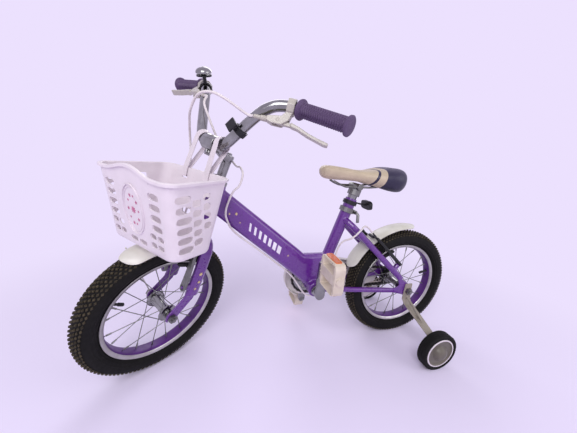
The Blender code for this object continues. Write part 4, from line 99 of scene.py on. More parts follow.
CHAIN_SIDE = -0.041
RING_TEETH, SPROCKET_TEETH = 24, 14
CRANK_LENGTH, PEDAL_SIDE = 0.092, {1: 0.1148, -1: -0.1273}
TRAINING_BACK, TRAINING_SIDE = -0.0276, 0.1776


def on_head(along, out, side=0.0):
    """A point of the steered parts before they turn, up and out from the foot of the steering axis."""
    return HEAD_FOOT + HEAD_UP * along + HEAD_OUT * out + SIDE * side


def linear(hex_colour):
    """A written sRGB colour as linear red, green and blue."""
    parts = [int(hex_colour[i : i + 2], 16) / 255 for i in (0, 2, 4)]
    return tuple(p / 12.92 if p <= 0.04045 else ((p + 0.055) / 1.055) ** 2.4 for p in parts)


class BicycleSettings(bpy.types.PropertyGroup):
    """Sizes and colours that someone would change."""

    paint: bpy.props.FloatVectorProperty(
        name="Paint", description="Enamel of the frame and fork", subtype="COLOR", default=linear("5E2486")
    )
    basket: bpy.props.FloatVectorProperty(
        name="Basket", description="Moulded plastic of the basket and straps", subtype="COLOR", default=linear("E3D8E1")
    )
    grips: bpy.props.FloatVectorProperty(
        name="Grips", description="Rubber of the grips", subtype="COLOR", default=linear("543F64")
    )
    saddle_pale: bpy.props.FloatVectorProperty(
        name="Pale vinyl", description="The saddle's nose and band", subtype="COLOR", default=linear("C2B199")
    )
    saddle_dark: bpy.props.FloatVectorProperty(
        name="Dark vinyl", description="The saddle's rear and stripe", subtype="COLOR", default=linear("241F3D")
    )
    stud_count: bpy.props.IntProperty(name="Studs round the tyre", description="Tread studs in one row", default=104)
    stud_height: bpy.props.FloatProperty(
        name="Stud height", description="How far a stud stands up", default=0.0024, unit="LENGTH"
    )
    spoke_radius: bpy.props.FloatProperty(
        name="Spoke radius", description="Radius of a wheel's spokes", default=0.001, unit="LENGTH"
    )
    rib_pitch: bpy.props.FloatProperty(
        name="Rib pitch", description="From one rib of a grip to the next", default=0.005, unit="LENGTH"
    )
    hole_edge: bpy.props.FloatProperty(
        name="Hole edge", description="Rounding of the basket's holes", default=0.0006, unit="LENGTH"
    )


def settings():
    return bpy.context.scene.bicycle_settings


# Finishes


def add_node(tree, kind, inputs=None, **options):
    """Adds a node with its options; an input takes a value or another node's output."""
    made = tree.nodes.new(kind)
    for key, value in options.items():
        setattr(made, key, value)
    for key, value in (inputs or {}).items():
        if isinstance(value, bpy.types.NodeSocket):
            tree.links.new(value, made.inputs[key])
        else:
            made.inputs[key].default_value = value
    return made


def calculated(tree, operation, *values):
    """The result of a maths operation on values or outputs."""
    return add_node(tree, "ShaderNodeMath", dict(enumerate(values)), operation=operation).outputs[0]


def surface(name, colour, shade, roughness, grain_mm, bump_mm, metallic=0.0, coat=0.0, blotch_mm=25.0, shine=0.5):
    """A finish whose colour drifts to a shade, or to a share of itself, with uneven gloss and a grain in real sizes."""
    colour = linear(colour) if isinstance(colour, str) else tuple(colour)
    shade = linear(shade) if isinstance(shade, str) else tuple(c * shade for c in colour)
    material = bpy.data.materials.new(name)
    material.use_nodes = True
    tree = material.node_tree
    shader = tree.nodes["Principled BSDF"]
    fixed = {"Metallic": metallic, "Coat Weight": coat, "Coat Roughness": 0.08, "Specular IOR Level": shine}
    for label, value in fixed.items():
        shader.inputs[label].default_value = value
    place = add_node(tree, "ShaderNodeTexCoord").outputs["Object"]

    def noise(scale, detail=2.0):
        inputs = {"Vector": place, "Scale": scale, "Detail": detail}
        return add_node(tree, "ShaderNodeTexNoise", inputs).outputs["Fac"]

    def spread(value, low, high, to_low=0.0, to_high=1.0):
        inputs = {"Value": value, "From Min": low, "From Max": high, "To Min": to_low, "To Max": to_high}
        return add_node(tree, "ShaderNodeMapRange", inputs).outputs["Result"]

    blotch = spread(noise(1000 / blotch_mm), 0.25, 0.75)
    tint = add_node(tree, "ShaderNodeMix", {0: blotch, 6: (*colour, 1.0), 7: (*shade, 1.0)}, data_type="RGBA")
    tree.links.new(tint.outputs[2], shader.inputs["Base Color"])
    gloss = spread(noise(2600 / blotch_mm, 6.0), 0.3, 0.7, max(0.02, roughness - 0.07), roughness + 0.07)
    tree.links.new(gloss, shader.inputs["Roughness"])
    bumps = {"Height": noise(1000 / grain_mm), "Distance": bump_mm / 1000, "Strength": 1.0}
    bump = add_node(tree, "ShaderNodeBump", bumps, name="grain")
    tree.links.new(bump.outputs["Normal"], shader.inputs["Normal"])
    return material


def reflector(name, colour):
    """Clear tinted plastic over a grid of prisms 2.4 mm across, drawn coarser than the real ones to show."""
    material = surface(name, colour, 0.8, 0.16, 1.0, 0.0, coat=0.6)
    tree = material.node_tree
    place = add_node(tree, "ShaderNodeTexCoord").outputs["Object"]
    prisms = add_node(tree, "ShaderNodeTexVoronoi", {"Vector": place, "Scale": 420.0})
    bump = tree.nodes["grain"]
    bump.inputs["Distance"].default_value = 0.0008
    tree.links.new(prisms.outputs["Distance"], bump.inputs["Height"])
    return material


FINISHES = {}


def make_finishes():
    s = settings()
    bed = tuple(c * 0.8 for c in s.paint)
    FINISHES.update(
        {
            # Sprayed enamel under clear lacquer: deep colour, a sharp coat and a faint orange peel
            "enamel": surface("purple_enamel", s.paint, 0.9, 0.3, 1.6, 0.015, coat=0.7),
            # The rims' bed is painted in the same enamel, but darker and duller
            "bed": surface("rim_bed_enamel", bed, 0.625, 0.42, 1.2, 0.01),
            # Injection moulded polypropylene: waxy, with broad soft highlights
            "basket": surface("moulded_polypropylene", s.basket, 0.93, 0.34, 0.7, 0.012, coat=0.15),
            "guard": surface("guard_plastic", "E4DDDC", "D6CDCB", 0.36, 0.7, 0.012, coat=0.15),
            "fender": surface("fender_plastic", "DCD9D2", "CECABF", 0.36, 0.8, 0.015, coat=0.15),
            "pedal": surface("pedal_plastic", "D9CCBF", "C4B6A8", 0.42, 0.6, 0.02),
            # Powder-coated steel arms, slightly grained, their pale beige darkened to grey as painted shade
            "arm_coat": surface("powder_coated_steel_painted_shade", "9C9389", "857C72", 0.45, 0.5, 0.02),
            # Lacquered levers and extruded casings: smooth, with a soft gloss
            "lever": surface("lever_lacquer", "B9B3AB", "A9A299", 0.38, 0.6, 0.015, coat=0.2),
            "casing": surface("cable_casing", "E2DADC", "D2C8C9", 0.4, 0.6, 0.01),
            # Decorative chrome: a mirror with faint smudges
            "chrome": surface("decorative_chrome", "9FA09E", "82837F", 0.15, 2.0, 0.004, 1.0),
            # Rolled alloy rim, brushed by the brake blocks
            "alloy": surface("rolled_alloy", "C4C3BF", "A8A6A0", 0.34, 0.35, 0.006, 1.0),
            # Plated, coated and oiled steel: greyer and duller than chrome
            "zinc": surface("zinc_plated_steel", "8C8D89", "6D6E68", 0.36, 0.5, 0.008, 1.0),
            "black_steel": surface("black_coated_steel", "2B2D2E", "1B1C1D", 0.38, 0.5, 0.01, 0.4),
            "chain": surface("oiled_chain_steel", "4A4846", "2C2A28", 0.4, 0.6, 0.01, 0.9),
            # Moulded black and grey plastic, nearly matt
            "black_plastic": surface("moulded_black_plastic", "151517", "1E1E21", 0.42, 0.6, 0.015, shine=0.35),
            "cap_grey": surface("hub_cap_plastic", "6B645A", "5C564D", 0.4, 0.6, 0.012),
            # Natural black tyre rubber, matt, with pale dust in the studs
            "tyre": surface("tyre_rubber", "0B0B0A", "12110F", 0.72, 0.8, 0.03, shine=0.2),
            "studs": surface("dusty_tread_rubber", "1C1A17", "564D3C", 0.8, 0.9, 0.03, blotch_mm=7.0, shine=0.2),
            # Brake blocks and grips: matt rubber with a fine skin
            "block": surface("brake_block_rubber", "1A1A1A", "232323", 0.75, 0.8, 0.02),
            "grip": surface("grip_rubber", s.grips, 0.8, 0.6, 0.7, 0.02),
            # Calendered vinyl over foam, with a leather-like grain about a millimetre across
            "pale_vinyl": surface("pale_vinyl", s.saddle_pale, 0.86, 0.44, 1.1, 0.06),
            "dark_vinyl": surface("dark_vinyl", s.saddle_dark, 0.75, 0.4, 1.1, 0.06),
            # Printed film under a thin clear layer
            "sticker": surface("printed_film", "E8E2EE", "DAD2E2", 0.3, 1.0, 0.004, coat=0.4),
            "sticker_gold": surface("printed_film_gold", "D9C389", "C9AE74", 0.32, 1.0, 0.004, coat=0.4),
            "sticker_pink": surface("printed_film_pink", "C6678F", "A94A77", 0.32, 1.0, 0.004, coat=0.4),
            "orange": reflector("orange_reflector", "E57A34"),
            "red": reflector("red_reflector", "A3141C"),
        }
    )


# Shapes


def across(axis):
    """Two directions at right angles to an axis."""
    axis = axis.normalized()
    guide = Vector((0.0, 0.0, -1.0)) if abs(axis.z) < 0.95 else FORWARD
    first = (guide - axis * guide.dot(axis)).normalized()
    return first, axis.cross(first)


def toward(turn, first=FORWARD, second=UP):
    """The direction at an angle from the first one to the second."""
    return first * cos(turn) + second * sin(turn)


def circle(middle, first, second, radius, sides):
    """Points round a middle, in the plane of two directions."""
    return [middle + toward(tau * k / sides, first, second) * radius for k in range(sides)]


def skin(rings, looped=False):
    """A surface through rings of points, capped if it isn't looped; a ring of one point is a tip."""
    bm = bmesh.new()
    made = [[bm.verts.new(point) for point in ring] for ring in rings]
    pairs = list(zip(made, made[1:])) + ([(made[-1], made[0])] if looped else [])
    for first, second in pairs:
        count = max(len(first), len(second))
        for i in range(count):
            j = (i + 1) % count
            corners = [first[i % len(first)], first[j % len(first)], second[j % len(second)], second[i % len(second)]]
            bm.faces.new(list(dict.fromkeys(corners)))
    for cap in () if looped else (made[0], made[-1]):
        if len(cap) > 2:
            bm.faces.new(cap)
    bmesh.ops.recalc_face_normals(bm, faces=bm.faces)
    return bm


def turned(profile, centre, axis, sides, hollow=False):
    """A profile of (radius, place along the axis) turned round it."""
    axis = axis.normalized()
    ways = across(axis)
    return skin([circle(centre + axis * at, *ways, radius, sides if radius else 1) for radius, at in profile], hollow)


def mirrored(half):
    """The points of half a profile on the other side, in the opposite order."""
    return [(radius, -side) for radius, side in reversed(half)]


def oval(half_width, half_height, sides, power=2.0):
    """Corners of an ellipse, or with a larger power of a rounded box."""
    corners = []
    for k in range(sides):
        turn = tau * (k + 0.5) / sides
        c, s = cos(turn), sin(turn)
        wide = copysign(abs(c) ** (2 / power), c) * half_width
        corners.append((wide, copysign(abs(s) ** (2 / power), s) * half_height))
    return corners


def tangents(path, looped=False):
    """The path's direction at each of its points."""
    found = []
    for i in range(len(path)):
        before = path[i - 1] if i > 0 or looped else path[i]
        after = path[(i + 1) % len(path)] if i < len(path) - 1 or looped else path[i]
        found.append((after - before).normalized())
    return found


def sweep(path, section, width_ways, looped=False):
    """A section of (width, height) corners along a path; the width way is one direction or one per point."""
    if isinstance(width_ways, Vector):
        width_ways = [width_ways] * len(path)
    rings = []
    for point, way, wide in zip(path, tangents(path, looped), width_ways):
        wide = (wide - way * wide.dot(way)).normalized()
        high = way.cross(wide)
        rings.append([point + wide * a + high * b for a, b in section])
    return skin(rings, looped)


def smooth_line(points, steps):
    """A smooth line through points, vectors or tuples, with the given steps between two."""
    points = [Vector(p) for p in points]
    ends = [points[0] * 2 - points[1], *points, points[-1] * 2 - points[-2]]
    found = []
    for a, b, c, d in zip(ends, ends[1:], ends[2:], ends[3:]):
        for t in [k / steps for k in range(steps)]:
            square, cube = 2 * a - 5 * b + 4 * c - d, 3 * b - a - 3 * c + d
            found.append(0.5 * (2 * b + (c - a) * t + square * t**2 + cube * t**3))
    return [*found, points[-1].copy()]


def axes(origin, first, second):
    """A place whose first two axes are as given."""
    third = first.cross(second).normalized()
    placed = Matrix((first.normalized(), second.normalized(), third)).transposed().to_4x4()
    placed.translation = origin
    return placed


def plate(outline, low, high, place):
    """A flat outline from one height to another along the third axis of its place."""
    bm = bmesh.new()
    bottom, top = ([bm.verts.new(place @ Vector((x, y, z))) for x, y in outline] for z in (low, high))
    for triangle in geometry.tessellate_polygon([[Vector((x, y, 0.0)) for x, y in outline]]):
        bm.faces.new([top[i] for i in triangle])
        bm.faces.new([bottom[i] for i in reversed(triangle)])
    for i in range(len(outline)):
        j = (i + 1) % len(outline)
        bm.faces.new([bottom[i], bottom[j], top[j], top[i]])
    bmesh.ops.recalc_face_normals(bm, faces=bm.faces)
    return bm


def star(radius, points):
    """A generic star with blunt points."""
    turns = [pi * k / points for k in range(points * 2)]
    reach = (radius, radius * 0.52)
    return [(reach[k % 2] * cos(t), reach[k % 2] * sin(t)) for k, t in enumerate(turns)]


def to_mesh(name, shape):
    """A shape as a new mesh; the shape goes."""
    mesh = bpy.data.meshes.new(name)
    shape.to_mesh(mesh)
    shape.free()
    return mesh


def joined(shapes):
    """Several shapes as one mesh."""
    whole = bmesh.new()
    for shape in shapes:
        mesh = to_mesh("shape", shape)
        whole.from_mesh(mesh)
        bpy.data.meshes.remove(mesh)
    return whole


def placed_object(name, data):
    """A new object at the origin, linked to the scene."""
    made = bpy.data.objects.new(name, data)
    bpy.context.collection.objects.link(made)
    return made


def evaluated(base):
    """The mesh that an object's modifiers make of it; modifiers and object go."""
    made = bpy.data.meshes.new_from_object(base.evaluated_get(bpy.context.evaluated_depsgraph_get()))
    for modifier in list(base.modifiers):
        base.modifiers.remove(modifier)
    bpy.data.objects.remove(base, do_unlink=True)
    return made


def add_piece(name, shape, finishes, body, replaced=(), steered=False, crease=40, rounding=0.0, faces=None):
    """Makes an object of a shape, gives it its finishes, rounds its edges and lets it ride on its body."""
    mesh = shape if isinstance(shape, bpy.types.Mesh) else to_mesh(name, shape)
    mesh.name = name
    if steered:
        mesh.transform(STEERED)
    mesh.materials.clear()
    finishes = [finishes] if isinstance(finishes, str) else finishes
    for finish in finishes:
        mesh.materials.append(FINISHES[finish])
    if faces:
        for polygon in mesh.polygons:
            polygon.material_index = faces(polygon)
    mesh.shade_smooth()
    mesh.set_sharp_from_angle(angle=radians(crease))
    made = placed_object(name, mesh)
    if rounding:
        bevel = made.modifiers.new("rounding", "BEVEL")
        bevel.width = rounding
        bevel.segments = 2
        bevel.limit_method = "ANGLE"
        bevel.angle_limit = radians(crease)
        bevel.harden_normals = True
    if isinstance(body, str):
        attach(made, body)
    else:
        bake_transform(made)
    if replaced:
        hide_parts(*([replaced] if isinstance(replaced, str) else replaced))
    return made


def node_copy(node):
    """A CAD node's shape with its split corners merged."""
    bm = bmesh.new()
    bm.from_mesh(NODES[node].data)
    bmesh.ops.remove_doubles(bm, verts=bm.verts, dist=1e-6)
    return bm


def dress(node, finish, rounding=0.0004):
    """A copy of a CAD node with rounded edges and its finish, in the node's place."""
    bm = node_copy(node)
    bmesh.ops.dissolve_limit(bm, angle_limit=radians(0.6), verts=bm.verts, edges=bm.edges)
    return add_piece(node + "_dressed", bm, finish, BODY_OF[node], node, crease=47, rounding=rounding)


def soften(node, finish, voxel, passes):
    """A CAD node as a casting or weld would leave it: remeshed finely, then smoothed, in the node's place."""
    base = placed_object("base", to_mesh("base", node_copy(node)))
    fine = base.modifiers.new("fine", "REMESH")
    fine.mode = "VOXEL"
    fine.voxel_size = voxel
    smooth = base.modifiers.new("smooth", "SMOOTH")
    smooth.factor = 0.5
    smooth.iterations = passes
    return add_piece(node + "_cast", evaluated(base), finish, BODY_OF[node], node, crease=180)


# Geometry Nodes


def new_tree(name, **inputs):
    """A node group with a geometry input, named inputs of a kind for its sizes, and a geometry output."""
    tree = bpy.data.node_groups.new(name, "GeometryNodeTree")
    for label, kind in {"Geometry": "Geometry", **inputs}.items():
        tree.interface.new_socket(label, in_out="INPUT", socket_type="NodeSocket" + kind)
    tree.interface.new_socket("Geometry", in_out="OUTPUT", socket_type="NodeSocketGeometry")
    return tree, add_node(tree, "NodeGroupInput").outputs


def close_tree(tree, last, finish):
    """Ends a tree with real geometry in its finish."""
    realized = add_node(tree, "GeometryNodeRealizeInstances", {"Geometry": last}).outputs[0]
    coloured = {"Geometry": realized, "Material": FINISHES[finish]}
    add_node(tree, "NodeGroupOutput", {"Geometry": add_node(tree, "GeometryNodeSetMaterial", coloured).outputs[0]})
    return tree


def on_points(tree, points, instance, axis):
    """The instance on every point, stood along its 'up', an axis laid along its 'along', at its 'share' of the size."""
    read = {}
    for name in ("up", "along", "share"):
        found = add_node(tree, "GeometryNodeInputNamedAttribute", {"Name": name}, data_type="FLOAT_VECTOR")
        read[name] = found.outputs["Attribute"]
    align = "FunctionNodeAlignRotationToVector"
    stood = add_node(tree, align, {"Vector": read["up"]}, axis="Z").outputs[0]
    laid = add_node(tree, align, {"Rotation": stood, "Vector": read["along"]}, axis=axis, pivot_axis="Z").outputs[0]
    inputs = {"Points": points, "Instance": instance, "Rotation": laid, "Scale": read["share"]}
    return add_node(tree, "GeometryNodeInstanceOnPoints", inputs).outputs[0]


def repeat_tree(name, sides, taper, finish):
    """A small turned or four-sided block on every point."""
    tree, start = new_tree(name, Width="Float", Length="Float", Height="Float")
    cone = {"Vertices": sides, "Radius Top": 0.5 * taper, "Radius Bottom": 0.5, "Depth": 1.0}
    block = add_node(tree, "GeometryNodeMeshCone", cone).outputs["Mesh"]
    sizes = {"X": start["Width"], "Y": start["Length"], "Z": start["Height"]}
    size = add_node(tree, "ShaderNodeCombineXYZ", sizes).outputs[0]
    block = add_node(tree, "GeometryNodeTransform", {"Geometry": block, "Scale": size}).outputs[0]
    return close_tree(tree, on_points(tree, start["Geometry"], block, "Y"), finish)


def wire_tree(name, finish):
    """A round wire along every edge."""
    tree, start = new_tree(name, Radius="Float", Sides="Int")
    line = add_node(tree, "GeometryNodeMeshToCurve", {"Mesh": start["Geometry"]}).outputs[0]
    round_section = {"Resolution": start["Sides"], "Radius": start["Radius"]}
    ring = add_node(tree, "GeometryNodeCurvePrimitiveCircle", round_section).outputs["Curve"]
    tube = add_node(tree, "GeometryNodeCurveToMesh", {"Curve": line, "Profile Curve": ring, "Fill Caps": True})
    return close_tree(tree, tube.outputs[0], finish)


def perforation_tree():
    """Cuts a rounded prism through the geometry at every point of another object."""
    tree, start = new_tree("Basket perforations", Holes="Object", Through="Float", Roundness="Float")
    holes = add_node(tree, "GeometryNodeObjectInfo", {"Object": start["Holes"]}).outputs["Geometry"]
    sizes = {"Vertices": 32, "Radius": 0.5, "Depth": start["Through"]}
    prism = add_node(tree, "GeometryNodeMeshCylinder", sizes).outputs["Mesh"]
    corner = add_node(tree, "ShaderNodeSeparateXYZ", {0: add_node(tree, "GeometryNodeInputPosition").outputs[0]})
    moved = {"Z": corner.outputs["Z"]}
    for label in ("X", "Y"):
        double = calculated(tree, "MULTIPLY", corner.outputs[label], 2.0)
        raised = calculated(tree, "POWER", calculated(tree, "ABSOLUTE", double), start["Roundness"])
        half = calculated(tree, "MULTIPLY", raised, 0.5)
        moved[label] = calculated(tree, "MULTIPLY", half, calculated(tree, "SIGN", double))
    placed = add_node(tree, "ShaderNodeCombineXYZ", moved).outputs[0]
    prism = add_node(tree, "GeometryNodeSetPosition", {"Geometry": prism, "Position": placed}).outputs[0]
    cutters = on_points(tree, holes, prism, "X")
    solid = add_node(tree, "GeometryNodeRealizeInstances", {"Geometry": cutters}).outputs[0]
    meshes = {"Mesh 1": start["Geometry"], "Mesh 2": solid}
    cut = add_node(tree, "GeometryNodeMeshBoolean", meshes, operation="DIFFERENCE")
    return close_tree(tree, cut.outputs["Mesh"], "basket")


def run_tree(tree, mesh, values):
    """The mesh that a tree makes of another, with its named inputs set."""
    base = placed_object("base", mesh)
    modifier = base.modifiers.new("tree", "NODES")
    modifier.node_group = tree
    for item in tree.interface.items_tree:
        if item.in_out == "INPUT" and item.name in values:
            modifier[item.identifier] = values[item.name]
    base.update_tag()
    return evaluated(base)


def spots_mesh(name, spots):
    """Points that carry their 'up' and 'along' directions and, where it is given, their share of the size."""
    mesh = bpy.data.meshes.new(name)
    mesh.from_pydata([spot[0] for spot in spots], [], [])
    for index, label in ((1, "up"), (2, "along"), (3, "share")):
        values = mesh.attributes.new(label, "FLOAT_VECTOR", "POINT")
        for i, spot in enumerate(spots):
            values.data[i].vector = spot[index] if index < len(spot) else (1.0, 1.0, 1.0)
    return mesh


def repeated(name, spots, sizes, finish, sides, taper=1.0):
    """Blocks of one size on spots of (point, up, along) or (point, up, along, share of the size)."""
    tree = repeat_tree(name, sides, taper, finish)
    return run_tree(tree, spots_mesh(name + "_spots", spots), dict(zip(("Width", "Length", "Height"), sizes)))


def wired(name, lines, radius, finish):
    """Wires with eight sides along lines of points."""
    edges, start = [], 0
    for line in lines:
        edges += [(start + i, start + i + 1) for i in range(len(line) - 1)]
        start += len(line)
    mesh = bpy.data.meshes.new(name + "_lines")
    mesh.from_pydata([point for line in lines for point in line], edges, [])
    return run_tree(wire_tree(name, finish), mesh, {"Radius": radius, "Sides": 8})


# Wheels


def tyre_half():
    """Half of the tyre's section as (radius, side), from its bead up to its crown."""
    points = (
        (0.1284, 0.0144), (0.1352, 0.0152), (0.14, 0.0205), (0.1412, 0.0222), (0.142, 0.0218),
        (0.147, 0.0242), (0.1482, 0.025), (0.1492, 0.0245), (0.156, 0.0251), (0.164, 0.0232),
        (0.1702, 0.0178), (0.1732, 0.011), (0.1745, 0.0045), (0.1747, 0.0),
    )  # fmt: skip
    return [(p.x, p.y) for p in smooth_line([(r, s, 0.0) for r, s in points], 3)]


def tread_spots(centre):
    """Where the studs stand: staggered rows from shoulder to shoulder."""
    upper = tyre_half()[18:]  # from half way up its wall
    spots = []
    count = settings().stud_count
    for row, side in enumerate((-0.0215, -0.0172, -0.0118, -0.006, 0.0, 0.006, 0.0118, 0.0172, 0.0215)):
        reach = abs(side)
        for (r1, s1), (r2, s2) in zip(upper, upper[1:]):
            if s2 <= reach <= s1:
                radius = r1 + (r2 - r1) * ((s1 - reach) / (s1 - s2) if s1 > s2 else 0.0)
                slope = atan2(s1 - s2, r2 - r1)
        lean = copysign(pi / 2 - slope, side) if side else 0.0
        outer = reach > 0.016
        lift = settings().stud_height * (0.3 if outer else 0.42)
        share = (0.85, 1.15, 0.8) if outer else (1.0, 1.0, 1.0)
        for k in range(count):
            turn = tau * (k + 0.5 * (row % 2)) / count
            out = toward(turn)
            up = toward(lean, out, SIDE)
            spots.append((centre + out * radius + SIDE * side + up * lift, up, out.cross(SIDE), share))
    return spots


def hub_half(flange, end):
    """From the hub's waist over a flange to its end, as (radius, side)."""
    barrel = (
        (0.0128, -0.008), (0.015, -0.003), (0.02, -0.0016), (0.0214, -0.0008),
        (0.0214, 0.0008), (0.02, 0.0016), (0.0105, 0.0019),
    )  # fmt: skip
    return [*[(r, flange + s) for r, s in barrel], (0.0105, end - 0.0006), (0.01, end), (0.0058, end)]


def build_wheel(end, centre, flanges, ends, body, steered):
    """Tyre with studs, rim with a painted bed, laced spokes with nipples, hub and valve."""
    s = settings()
    half = tyre_half()
    tyre = turned(half + mirrored(half[:-1]), centre, SIDE, 120, True)
    add_piece(end + "_tyre_casing", tyre, "tyre", body, end + "_tyre", steered, 60)
    studs = repeated(end + " tread", tread_spots(centre), (0.0062, 0.0078, s.stud_height), "studs", 4, 0.62)
    add_piece(end + "_tyre_studs", studs, "studs", body, (), steered, 30)
    wall = (
        (-0.0004, 0.0021), (0.0, 0.0008), (-0.0008, 0.0), (-0.0075, 0.0022), (-0.0088, 0.0038), (-0.0105, 0.007),
        (-0.0109, 0.012), (-0.0109, RIM_HALF_WIDTH),
    )  # fmt: skip
    section = [(RIM_RADIUS + r, RIM_HALF_WIDTH - inward) for r, inward in wall]
    channel, channel_half = RIM_RADIUS - 0.0061, RIM_HALF_WIDTH - 0.0026
    around = section + mirrored(section[:-1])
    around += [(channel, -channel_half), (channel, 0.0), (channel, channel_half)]
    middle = STEERED @ centre if steered else centre
    add_piece(
        end + "_rim_rolled",
        turned(around, centre, SIDE, 120, True),
        ["alloy", "bed"],
        body,
        end + "_rim",
        steered,
        35,
        faces=lambda face: int((face.center - middle).length < RIM_RADIUS - 0.009),
    )
    left, right = flanges
    barrel = [*mirrored(hub_half(right, ends[1])), (0.0118, 0.0), *hub_half(left, ends[0])]
    hub = turned(barrel, centre, SIDE, 48, True)
    add_piece(end + "_hub_shell", hub, "chrome", body, end + "_hub", steered, 35)
    down = Vector((0.0, 0.0, -1.0))
    if steered:
        down = STEERED.to_3x3().inverted() @ down
        down = (down - SIDE * down.dot(SIDE)).normalized()
    ahead = SIDE.cross(down)
    spokes, nipples = [], []
    for k in range(SPOKES):
        turn = tau * (k + 0.5) / SPOKES
        flange_side = left if k % 2 else -right
        outward = copysign(1, flange_side)
        leading = 1 if k % 4 < 2 else -1
        hole = turn + leading * 8 * pi / SPOKES
        start = centre + toward(hole, down, ahead) * SPOKE_CIRCLE
        start += SIDE * (flange_side + outward * leading * 0.0016)
        foot = centre + toward(turn, down, ahead) * (RIM_BED + 0.0002) + SIDE * (outward * 0.0015)
        elbow = start - SIDE * (outward * leading * 0.003)
        spokes.append([elbow, start, start.lerp(foot, 0.5), foot])
        lay = (start - foot).normalized()
        nipples.append((foot + lay * 0.0052, lay, SIDE))
    wires = wired(end + " spokes", spokes, s.spoke_radius, "zinc")
    add_piece(end + "_spokes", wires, "zinc", body, (), steered, 50)
    collars = repeated(end + " nipples", nipples, (0.0042, 0.0042, 0.0105), "zinc", 12, 0.8)
    add_piece(end + "_spoke_nipples", collars, "zinc", body, (), steered, 30)
    way = toward(radians(240 if steered else 105), down, ahead)
    valve = (
        (0.0, 0.0), (0.0042, 0.0), (0.0042, 0.002), (0.0032, 0.004), (0.003, 0.015),
        (0.004, 0.016), (0.004, 0.026), (0.0034, 0.0275), (0.0, 0.028),
    )  # fmt: skip
    stem = turned(valve, centre + way * (RIM_BED + 0.0005) + SIDE * 0.0012, -way, 20)
    add_piece(end + "_valve_and_cap", stem, "black_plastic", body, (), steered, 35)


class BICYCLE_OT_wheels(bpy.types.Operator):
    """Tyres, rims, spokes, hubs and valves of both main wheels"""

    bl_idname = "bicycle.wheels"
    bl_label = "Main wheels"

    def execute(self, context):
        build_wheel("front", FRONT_AXLE, (HUB_FLANGE, HUB_FLANGE), (0.036, 0.036), "front_wheel", True)
        build_wheel("rear", AXLE, (HUB_FLANGE, 0.026), (0.036, 0.034), "rear_wheel", False)
        dress("front_axle", "zinc")
        dress("rear_axle", "zinc")
        return {"FINISHED"}


class BICYCLE_OT_training_wheels(bpy.types.Operator):
    """The small wheels, their caps and the arms that carry them"""

    bl_idname = "bicycle.training_wheels"
    bl_label = "Training wheels"

    def execute(self, context):
        wide, hub, tread, bore = 0.015, 0.044, 0.056, 0.0056
        half = [
            (hub + 0.0003, -wide + 0.002), (hub + 0.003, -wide + 0.0004), (hub + 0.006, -wide),
            (tread - 0.0036, -wide + 0.0006), (tread - 0.001, -wide + 0.0026), (tread, -wide + 0.005),
            (tread, -0.0046), (tread - 0.0008, -0.004), (tread - 0.0008, -0.003), (tread, -0.0024),
        ]  # fmt: skip
        disc = (
            (0.0, 0.018), (bore, 0.018), (bore, -0.015), (0.013, -0.015), (0.015, -wide + 0.006),
            (hub - 0.003, -wide + 0.0045), (hub - 0.0004, -wide + 0.0025), (hub - 0.0002, wide - 0.0022),
            (hub - 0.0012, wide - 0.0008), (hub - 0.004, wide - 0.001), (hub - 0.0062, wide - 0.004),
            (hub - 0.0075, wide - 0.0046), (0.0225, wide - 0.0038), (0.0195, wide - 0.001),
            (0.017, wide + 0.0042), (0.013, wide + 0.0072), (0.007, wide + 0.009), (0.0, wide + 0.0095),
        )  # fmt: skip
        for side, end in BOTH_SIDES:
            centre = Vector((TRAINING_BACK, TRAINING_SIDE * side, tread))
            body = end + "_training_wheel"
            tyre = turned(half + mirrored(half), centre, SIDE * side, 96, True)
            add_piece("training_tyre_moulded_" + end, tyre, "tyre", body, "training_tyre_" + end, crease=30)

            def in_cap(face):
                away = face.center - centre
                return int(away.y * side > wide - 0.0064 and hypot(away.x, away.z) < hub - 0.005)

            add_piece(
                "training_hub_moulded_" + end,
                turned(disc, centre, SIDE * side, 96),
                ["basket", "cap_grey"],
                body,
                "training_hub_" + end,
                crease=30,
                faces=in_cap,
            )
            # The arms' darker grey finish is painted shade
            soften("training_bracket_" + end, "arm_coat", 0.0012, 4)
        return {"FINISHED"}


# Fenders


FRONT_FENDER, FRONT_FENDER_START, FRONT_SKIRT = TYRE_RADIUS + 0.0097, radians(65), 0.0125
REAR_FENDER, FENDER_THICKNESS = TYRE_RADIUS + 0.0195, 0.0016


def fender(centre, radius, start, end, steps, half, skirt):
    """A thin arched strip round a wheel with rounded ends, its edges drawn down by the skirt."""
    arch = [(a, abs(a) ** 2.6) for a in (-1 + 2 * k / 14 for k in range(15))]
    rings = []
    for k in range(steps + 1):
        share = k / steps
        from_end = min(share, 1 - share) * (end - start) * radius
        narrow = max(sqrt(1 - max(0.0, 1 - from_end / 0.03) ** 2), 0.16)
        way = toward(start + (end - start) * share)
        inner, outer = (
            [centre + way * (radius + up - drawn * drop * narrow) + SIDE * (wide * a * narrow) for a, drop in arch]
            for up, drawn, wide in ((0.0, skirt, half), (FENDER_THICKNESS, skirt - 0.0004, half + 0.0012))
        )
        rings.append(inner + outer[::-1])
    return skin(rings)


